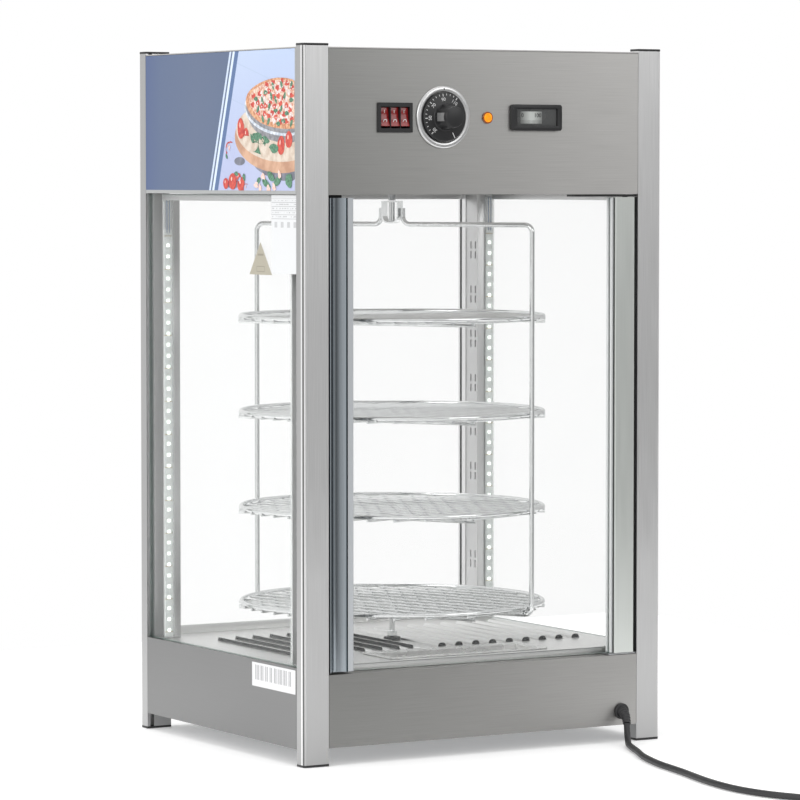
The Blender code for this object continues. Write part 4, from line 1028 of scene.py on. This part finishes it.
blot("shine", [oval(u, v, 0.014, 0.022, 0.3 * k, 10, 0.2) for k, (u, v) in enumerate(
    ((0.755, 0.960), (0.800, 0.900), (0.835, 0.985), (0.870, 0.975), (0.905, 0.885), (0.780, 0.985)))])
sign_picture = joined(printed)
for corner, side in (("left", 1), ("right", -1)):
    picture_piece = twin(sign_picture, side, 1)
    picture_piece.name = f"sign_picture_{corner}"
    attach(picture_piece, "root")
bpy.data.objects.remove(sign_picture)

# ---------------------------------------------------------------- door
# Glass pane, 4 mm, between two extruded stiles. The handle stile has a polished hollow pull, and
# the door turns on two pins in nylon bushes inside the hinge stile.
door_low, door_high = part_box("door_handle_stile")
door_front, door_back, slot = -0.19, -0.174, (-0.1845, -0.1795)
stile_section = ([(-0.194, door_back), (-0.194, door_front + 0.0012), (-0.1936, door_front + 0.0003),
                  (-0.1932, door_front)] + arc(-0.18345, -0.19725, 0.0118, 142, 42, 28)
                 + [(-0.1742, door_front), (-0.1727, door_front), (-0.1724, door_front + 0.0003),
                    (-0.1720, door_front + 0.0018), (-0.1662, door_front + 0.0018)]
                 + arc(-0.1658, door_front + 0.0036, 0.0018, 90 + 180, 360, 5)
                 + [(-0.1640, slot[0]), (-0.1705, slot[0]), (-0.1705, slot[1]), (-0.1640, slot[1]),
                    (-0.1640, door_back - 0.001), (-0.1650, door_back)])
pull_metal = Finish("polished_aluminium", "aluminium", metallic=1.0)
lines = pull_metal.noise((1400, 1400, 5), 1.0, 3.0)
lip = pull_metal.along(0)
flat_lip, shadow_line = (lip > -0.1719), (lip > -0.1744) * (lip < -0.1722)
pull_tone = pull_metal.blend(lines, (0.24, 0.27, 0.29), (0.34, 0.37, 0.40))
pull_tone = pull_metal.blend(flat_lip, pull_metal.blend(shadow_line, pull_tone, (0.03, 0.05, 0.06)), (0.56, 0.58, 0.60))
pull_metal.set(base_color=pull_tone, roughness=0.12 + 0.08 * lines + 0.45 * flat_lip,
               normal=pull_metal.bump(lines, 0.000003))
stile = plan_outline([stile_section], door_high.z - door_low.z, place=(0, 0, (door_low.z + door_high.z) / 2))
settle(stile, "door_pull_stile", pull_metal, body="door", smooth=40)
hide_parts("door_handle_stile")
hinge_metal = brushed("anodised_stile", "aluminium", (0.66, 0.69, 0.66), (0.80, 0.83, 0.80), (900, 900, 10), 0.36)
coat(hinge_metal, "door_hinge_stile")
coat(flat_glass, "door_glass")
pale_vinyl = speckled("pale_vinyl", "rubber", (0.74, 0.76, 0.76), (0.84, 0.85, 0.85), 300.0, 2.0, 0.30, 0.1)
coat(pale_vinyl, "door_seal")
coat(black_plastic, "door_bush_bottom", "door_bush_top", "door_pivot_top", "door_catch")
coat(zinc_steel, "door_pivot_bottom")
seal_low, seal_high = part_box("door_seal")
inner_bead = pad((seal_low.x, -0.1797, seal_low.z), (seal_high.x, -0.1768, seal_high.z), 0.0006, 3)
settle(inner_bead, "door_seal_inside", pale_vinyl, body="door", smooth=40)
dark_lip = pad((0.1645, -0.1893, seal_low.z), (0.1658, -0.1886, seal_high.z), 0.0002)
settle(dark_lip, "door_seal_lip", rubber, body="door", smooth=40)
felt = pad((0.1955, -0.1895, door_low.z), (0.1958, -0.1745, door_high.z), 0.0001)
settle(felt, "post_felt_strip", rubber)
left_bead = pad((-0.1638, -0.1797, seal_low.z), (-0.1622, -0.1772, seal_high.z), 0.0005, 3)
settle(left_bead, "door_seal_pull_side", rubber, body="door", smooth=40)
catch_low, catch_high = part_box("door_catch")
magnets = joined([pad((catch_low.x + 0.004 + 0.0095 * k, catch_low.y - 0.0003, catch_low.z + 0.0030),
                      (catch_low.x + 0.0115 + 0.0095 * k, catch_low.y + 0.0006, catch_high.z - 0.0030), 0.0002)
                  for k in range(2)])
settle(magnets, "catch_magnets", zinc_steel)

# ---------------------------------------------------------------- rocker switches
# Black bezel with three red rockers. The lower half of each stands proud; the marks are the
# usual bar for on and ring for off.
coat(black_plastic, "switch_housing")
red = speckled("red_rocker", "red_plastic", (0.15, 0.003, 0.004), (0.36, 0.010, 0.010), 260.0, 2.0, 0.16, 0.1,
               coat_weight=0.15)
white_ink = speckled("white_ink", "print", 0.66, 0.86, 900.0, 3.0)
pivot_y, pivot_z, tilt, rocker_wide = -0.186, 0.6878, math.radians(10), 0.0104
rock = [(0.0102 * math.sin(math.radians(a)), 0.0102 * math.cos(math.radians(a))) for a in range(12, 169, 6)]
rock += [(-0.0045, -0.0100), (-0.0036, -0.0045), (-0.0030, 0.0), (-0.0036, 0.0045), (-0.0045, 0.0100)]
rock = [(d * math.cos(tilt) + h * math.sin(tilt), h * math.cos(tilt) - d * math.sin(tilt)) for d, h in rock]
side_on = Matrix(((0, 0, 1), (1, 0, 0), (0, 1, 0))).to_euler()
low_slope = math.atan2(0.00322, 0.00959)
for k, name in enumerate(("heat", "light", "rotate")):
    x = -0.12725 + 0.0121 * k
    key = softened(plan_outline([rock], rocker_wide, side_on, (x, pivot_y, pivot_z)), 0.0007, 3, 40)
    settle(key, f"rocker_key_{name}", red, body=f"{name}_rocker", smooth=40)
    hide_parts(f"rocker_{name}")
    ring = plan_outline([arc(0, 0, 0.0023, 0, 345, 23), arc(0, 0, 0.00165, 0, 345, 23)], 0.00012,
                        (math.pi / 2 + low_slope, 0, 0), (x, pivot_y - 0.00485, pivot_z - 0.0040))
    bar = plan_outline([rounded(-0.0003, -0.0017, 0.0003, 0.0017, 0.0002, 2)], 0.00012, (math.pi / 2 - 0.03, 0, 0),
                       (x, pivot_y - 0.00315, pivot_z + 0.0064))
    settle(joined([ring, bar]), f"rocker_marks_{name}", white_ink, body=f"{name}_rocker")

# ---------------------------------------------------------------- thermostat
# Turned aluminium ring on the panel, and a black knob pressed on the thermostat's shaft. The
# scale is printed on the knob's skirt, so it turns past the dot on the ring.
coat(zinc_steel, "thermostat_body")
dial_x, dial_z, panel_y = -0.0552, 0.6885, -0.19
outward = (0, -1, 0)
bezel = turned([(0.0272, 0.0), (0.0272, 0.0016), (0.0278, 0.0022), (0.0290, 0.0025), (0.0312, 0.0025), (0.0326, 0.0020),
                (0.0333, 0.0012), (0.0335, 0.0), (0.0272, 0.0)], (dial_x, panel_y - 0.0004, dial_z), outward, 96)
satin_ring = brushed("satin_ring", "aluminium", 0.58, 0.76, (300, 12, 300), 0.30)
settle(bezel, "dial_bezel", satin_ring, smooth=35)
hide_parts("dial_ring")
dot = turned([(0, 0.0003), (0.0007, 0.0003), (0.0009, 0.0), (0, 0.0)], (dial_x, panel_y - 0.0029, dial_z + 0.0302),
             outward, 16)
settle(dot, "dial_dot", black_plastic, smooth=35)
knob = turned([(0, 0.0250), (0.0098, 0.0250), (0.0108, 0.0246), (0.0113, 0.0236), (0.0143, 0.0056), (0.0148, 0.0050),
               (0.0240, 0.0048), (0.0256, 0.0042), (0.0263, 0.0030), (0.0265, 0.0), (0, 0.0)],
              (dial_x, panel_y - 0.0008, dial_z), outward, 96)
pick(knob)
apply_place()
flutes = []
for k in range(10):
    a = math.radians(36 * k + 18)
    clear_selection()
    bpy.ops.mesh.primitive_cylinder_add(vertices=28, radius=0.0062, depth=0.019, rotation=(math.pi / 2, 0, 0),
                                        location=(dial_x + 0.0187 * math.cos(a), panel_y - 0.0168,
                                                  dial_z + 0.0187 * math.sin(a)))
    flutes.append(bpy.context.object)
cut(knob, joined(flutes))
settle(softened(knob, 0.0003, 2, 35), "thermostat_knob_turned", black_plastic, body="knob", smooth=30)
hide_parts("thermostat_knob")
def figure(text, size, extrude):
    """A number as a raised mesh, upright in the XY plane and centred."""
    words = bpy.data.curves.new("figure", "FONT")
    words.body, words.size, words.align_x, words.align_y, words.extrude = text, size, "CENTER", "CENTER", extrude
    piece = bpy.data.objects.new("figure", words)
    bpy.context.collection.objects.link(piece)
    return meshed(piece)


marks = []
dial_plane = (Matrix.Translation((dial_x, panel_y - 0.0008 - 0.0049, dial_z))
              @ Matrix.Rotation(math.pi / 2, 4, "X"))
for k in range(17):
    a = math.radians(226 - 171 * k / 16)
    major = k % 4 == 0
    reach_in = 0.0222 if major else 0.0232
    tick = plan_outline([rounded(reach_in, -0.00028 - 0.0001 * major, 0.0252, 0.00028 + 0.0001 * major, 0.0001, 2)],
                        0.00016)
    tick.matrix_world = dial_plane @ Matrix.Rotation(a, 4, "Z")
    marks.append(tick)
    if major:
        numeral = figure(str(30 + 5 * k), 0.0052, 0.00008)
        numeral.matrix_world = (dial_plane @ Matrix.Rotation(a, 4, "Z") @ Matrix.Translation((0.0190, 0, 0))
                                @ Matrix.Rotation(-math.pi / 2, 4, "Z"))
        marks.append(numeral)
index = plan_outline([rounded(0.0185, -0.0004, 0.0252, 0.0004, 0.0002, 2)], 0.00016)
index.matrix_world = dial_plane @ Matrix.Rotation(math.radians(-62), 4, "Z")
settle(joined(marks + [index]), "thermostat_scale", white_ink, body="knob")
# Painted highlight: a grey plate on the left flank of the black knob.
knob_highlight_finish = speckled("knob_highlight_paint", "aluminium", 0.20, 0.30, 900.0, rough=0.4,
                       metallic=0.3)
knob_highlight_pad = pad((dial_x - 0.0137, panel_y - 0.0215, dial_z - 0.0045),
            (dial_x - 0.0100, panel_y - 0.0110, dial_z + 0.0045), 0.0004)
choose(knob_highlight_pad, "VERT", lambda v: v.y < panel_y - 0.015)
bpy.ops.transform.translate(value=(0.0017, 0, 0))
object_mode()
settle(knob_highlight_pad, "knob_painted_highlight", knob_highlight_finish, body="knob", smooth=35)

# ---------------------------------------------------------------- indicator lamp
# Amber lens with a cut-glass face, clipped in a hole in the panel.
lamp_x = 0.0006
amber = Finish("amber_lens", "amber_plastic", emission_strength=0.55, coat_weight=0.5)
depth_in = amber.noise((1, 1, 1), 420.0, 1.0)
amber.set(base_color=amber.blend(depth_in, (0.72, 0.20, 0.008), (1.0, 0.40, 0.02)), roughness=0.12 + 0.1 * depth_in,
          emission_color=amber.blend(depth_in, (0.85, 0.22, 0.0), (1.0, 0.42, 0.02)))
amber_rim = speckled("amber_rim", "amber_plastic", (0.20, 0.05, 0.01), (0.40, 0.11, 0.015), 300.0, rough=0.25)
flange = turned([(0.0048, -0.0180), (0.0048, 0.0001), (0.0064, 0.0003), (0.0064, 0.0009), (0.0058, 0.0016),
                 (0.0050, 0.0016), (0.0046, 0.0010), (0, 0.0010), (0, -0.0180), (0.0048, -0.0180)],
                (lamp_x, panel_y - 0.0003, dial_z), outward, 48)
settle(flange, "lamp_rim", amber_rim, smooth=35)
facets = []
for i in range(-3, 4):
    for j in range(-3, 4):
        if math.hypot(i, j) < 3.3:
            clear_selection()
            rise = 0.0022 * (1 - (i * i + j * j) / 16)
            bpy.ops.mesh.primitive_cone_add(vertices=4, radius1=0.00098, radius2=0.00025, depth=0.0009 + rise,
                                            rotation=(math.pi / 2, math.pi / 4, 0),
                                            location=(lamp_x + 0.00136 * i, panel_y - 0.0011 - (0.0009 + rise) / 2,
                                                      dial_z + 0.00136 * j))
            facets.append(bpy.context.object)
lens_disc = turned([(0, 0.0012), (0.0048, 0.0010), (0.0050, 0.0), (0, 0.0)], (lamp_x, panel_y - 0.0012, dial_z),
                   outward, 40)
settle(joined([lens_disc] + facets), "lamp_lens", amber)
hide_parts("indicator_lamp")

# ---------------------------------------------------------------- thermometer
# Panel thermometer: a black moulded frame with round corners, a grey window and a pale scale
# plate that reads from 0 to 100.
gauge_low, gauge_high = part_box("thermometer")
gx0, gx1, gz0, gz1 = gauge_low.x, gauge_high.x, gauge_low.z, gauge_high.z
upright = (math.pi / 2, 0, 0)
gauge_frame = plan_outline([rounded(gx0, gz0, gx1, gz1, 0.0030, 6), rounded(0.0365, 0.6796, 0.0882, 0.6986, 0.0008, 3)],
                           0.0036, upright, (0, panel_y - 0.0022, 0))
pick(gauge_frame)
apply_place()
softened(gauge_frame, 0.0009, 3, 50)
gauge_rear = pad((0.0325, panel_y - 0.0008, 0.6779), (0.0907, panel_y + 0.0160, 0.7000), 0.0008)
gauge = settle(joined([gauge_frame, gauge_rear]), "gauge_frame", black_plastic, smooth=35)
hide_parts("thermometer")
window = Finish("gauge_window", "black_plastic", coat_weight=0.7)
haze = window.noise((60, 60, 60), 1.0, 2.0)
window.set(base_color=window.blend(haze, (0.050, 0.052, 0.052), (0.085, 0.087, 0.086)), roughness=0.22 + 0.1 * haze)
plate_piece = pad((0.0368, panel_y - 0.0020, 0.6798), (0.0880, panel_y - 0.0012, 0.6984), 0.0002)
settle(plate_piece, "gauge_plate", window)
scale_ink = Finish("gauge_scale", "print")
fade = scale_ink.node("MapRange", {}, {0: abs(scale_ink.along(0) - 0.0560), 1: 0.002, 2: 0.0150})
scale_tone = scale_ink.blend(fade, (0.52, 0.54, 0.52), (0.13, 0.135, 0.13))
notch = ((scale_ink.along(0) * 640.0) % 1.0 < 0.25) * (scale_ink.along(2) < 0.6862)
scale_ink.set(base_color=scale_ink.blend(notch, scale_tone, 0.06), roughness=0.35)
pale_plate = plan_outline([rounded(0.0415, 0.6824, 0.0690, 0.6955, 0.0006, 2)], 0.00012, upright,
                          (0, panel_y - 0.00210, 0))
settle(pale_plate, "gauge_scale_plate", scale_ink)
figures = []
for text, x in (("0", 0.0440), ("100", 0.0635)):
    reading = figure(text, 0.0062, 0.00006)
    reading.rotation_euler, reading.location = upright, (x, panel_y - 0.00225, 0.6912)
    figures.append(reading)
settle(joined(figures), "gauge_figures", black_plastic)

# ---------------------------------------------------------------- turning rack
# Chromed wire frame that hangs from the drive shaft's hub and turns on a rod in a bush in the
# floor. Four welded round shelves clip inside it, all alike.
chrome = speckled("chrome_plate", "chrome", (0.66, 0.67, 0.67), (0.82, 0.83, 0.83), 160.0, 2.0, 0.07, 0.09, 0.00003,
                  metallic=1.0)
coat(chrome, "rack_hub")
coat(zinc_steel, "drive_shaft")
coat(black_plastic, "floor_bush")
spin_axis, rack_turn = Vector((-0.005, 0.003, 0)), math.radians(-58.6)
onto_axis = Matrix.Translation(spin_axis) @ Matrix.Rotation(rack_turn, 4, "Z")


def rounded_path(points, radius, steps=8):
    """A path of straight runs with a round bend at each corner."""
    line = [Vector(points[0])]
    for before, here, after in zip(points, points[1:], points[2:]):
        before, here, after = Vector(before), Vector(here), Vector(after)
        start, end = here + (before - here).normalized() * radius, here + (after - here).normalized() * radius
        centre = start + end - here
        for i in range(steps + 1):
            a = math.pi / 2 * i / steps
            line.append(centre + (start - centre) * math.cos(a) + (end - centre) * math.sin(a))
    return line + [Vector(points[-1])]


frame_wire, reach = 0.00275, 0.1746
end_x = 0.0105 + frame_wire + 0.0004
frame_line = rounded_path([(-end_x, 0, 0.590), (-end_x, 0, 0.572), (-reach, 0, 0.572), (-reach, 0, 0.1422),
                           (reach, 0, 0.1422), (reach, 0, 0.572), (end_x, 0, 0.572), (end_x, 0, 0.590)], 0.0085)
frame_piece = meshed(line_curve(frame_line, frame_wire, 6))
rod = turned([(0, 0.1410), (0.0030, 0.1410), (0.0030, 0.1068), (0.0022, 0.1058), (0, 0.1058)], (0, 0, 0), steps=32)
rack_frame_piece = joined([frame_piece, rod])
rack_frame_piece.matrix_world = onto_axis
settle(rack_frame_piece, "turning_frame", chrome, body="rack", smooth=40)
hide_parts("rack_frame")
collar = turned([(0.0030, 0.1100), (0.0052, 0.1100), (0.0056, 0.1105), (0.0056, 0.1150), (0.0052, 0.1155),
                 (0.0030, 0.1155),
                 (0.0030, 0.1100)], spin_axis, steps=32)
settle(collar, "pivot_rod_collar", chrome, body="rack", smooth=35)

ring_r, ring_wire, thin, stay = 0.169, 0.0025, 0.00145, 0.0020
shelf_parts = []
clear_selection()
bpy.ops.mesh.primitive_torus_add(major_radius=ring_r, minor_radius=ring_wire, major_segments=120, minor_segments=14)
shelf_parts.append(bpy.context.object)
inside = ring_r + ring_wire - 0.0005
wire_z = -ring_wire - thin + 0.0004
stay_z = wire_z - thin - stay + 0.0004
wire_pitch, weave = 0.023, Matrix.Rotation(math.radians(-13.4), 4, "Z")


def straight_wire(across, z, radius, sides, along_x=False):
    half = math.sqrt(inside ** 2 - across ** 2)
    ends = [(-half, across, z), (half, across, z)] if along_x else [(across, -half, z), (across, half, z)]
    return meshed(line_curve(ends, radius, sides))


for k in range(-7, 8):
    for line, lift in ((False, 0.0), (True, 0.0018)):
        one = straight_wire(k * wire_pitch, wire_z + lift, thin, 2, line)
        one.matrix_world = weave
        shelf_parts.append(one)
for across in (-0.085, 0.085):
    shelf_parts.append(straight_wire(across, stay_z, stay, 4, True))
shelf = joined(shelf_parts)
pick(shelf)
shelf.matrix_world = onto_axis
apply_place()
bpy.ops.object.shade_smooth_by_angle(angle=math.radians(50))
for k in range(4):
    one = settle(twin(shelf, shift=(0, 0, 0.150 + 0.1067 * k)), f"wire_shelf_{k + 1}", chrome, body="rack", smooth=50)
    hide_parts(f"shelf_{k + 1}")
bpy.data.objects.remove(shelf)
bpy.data.objects.remove(screw)
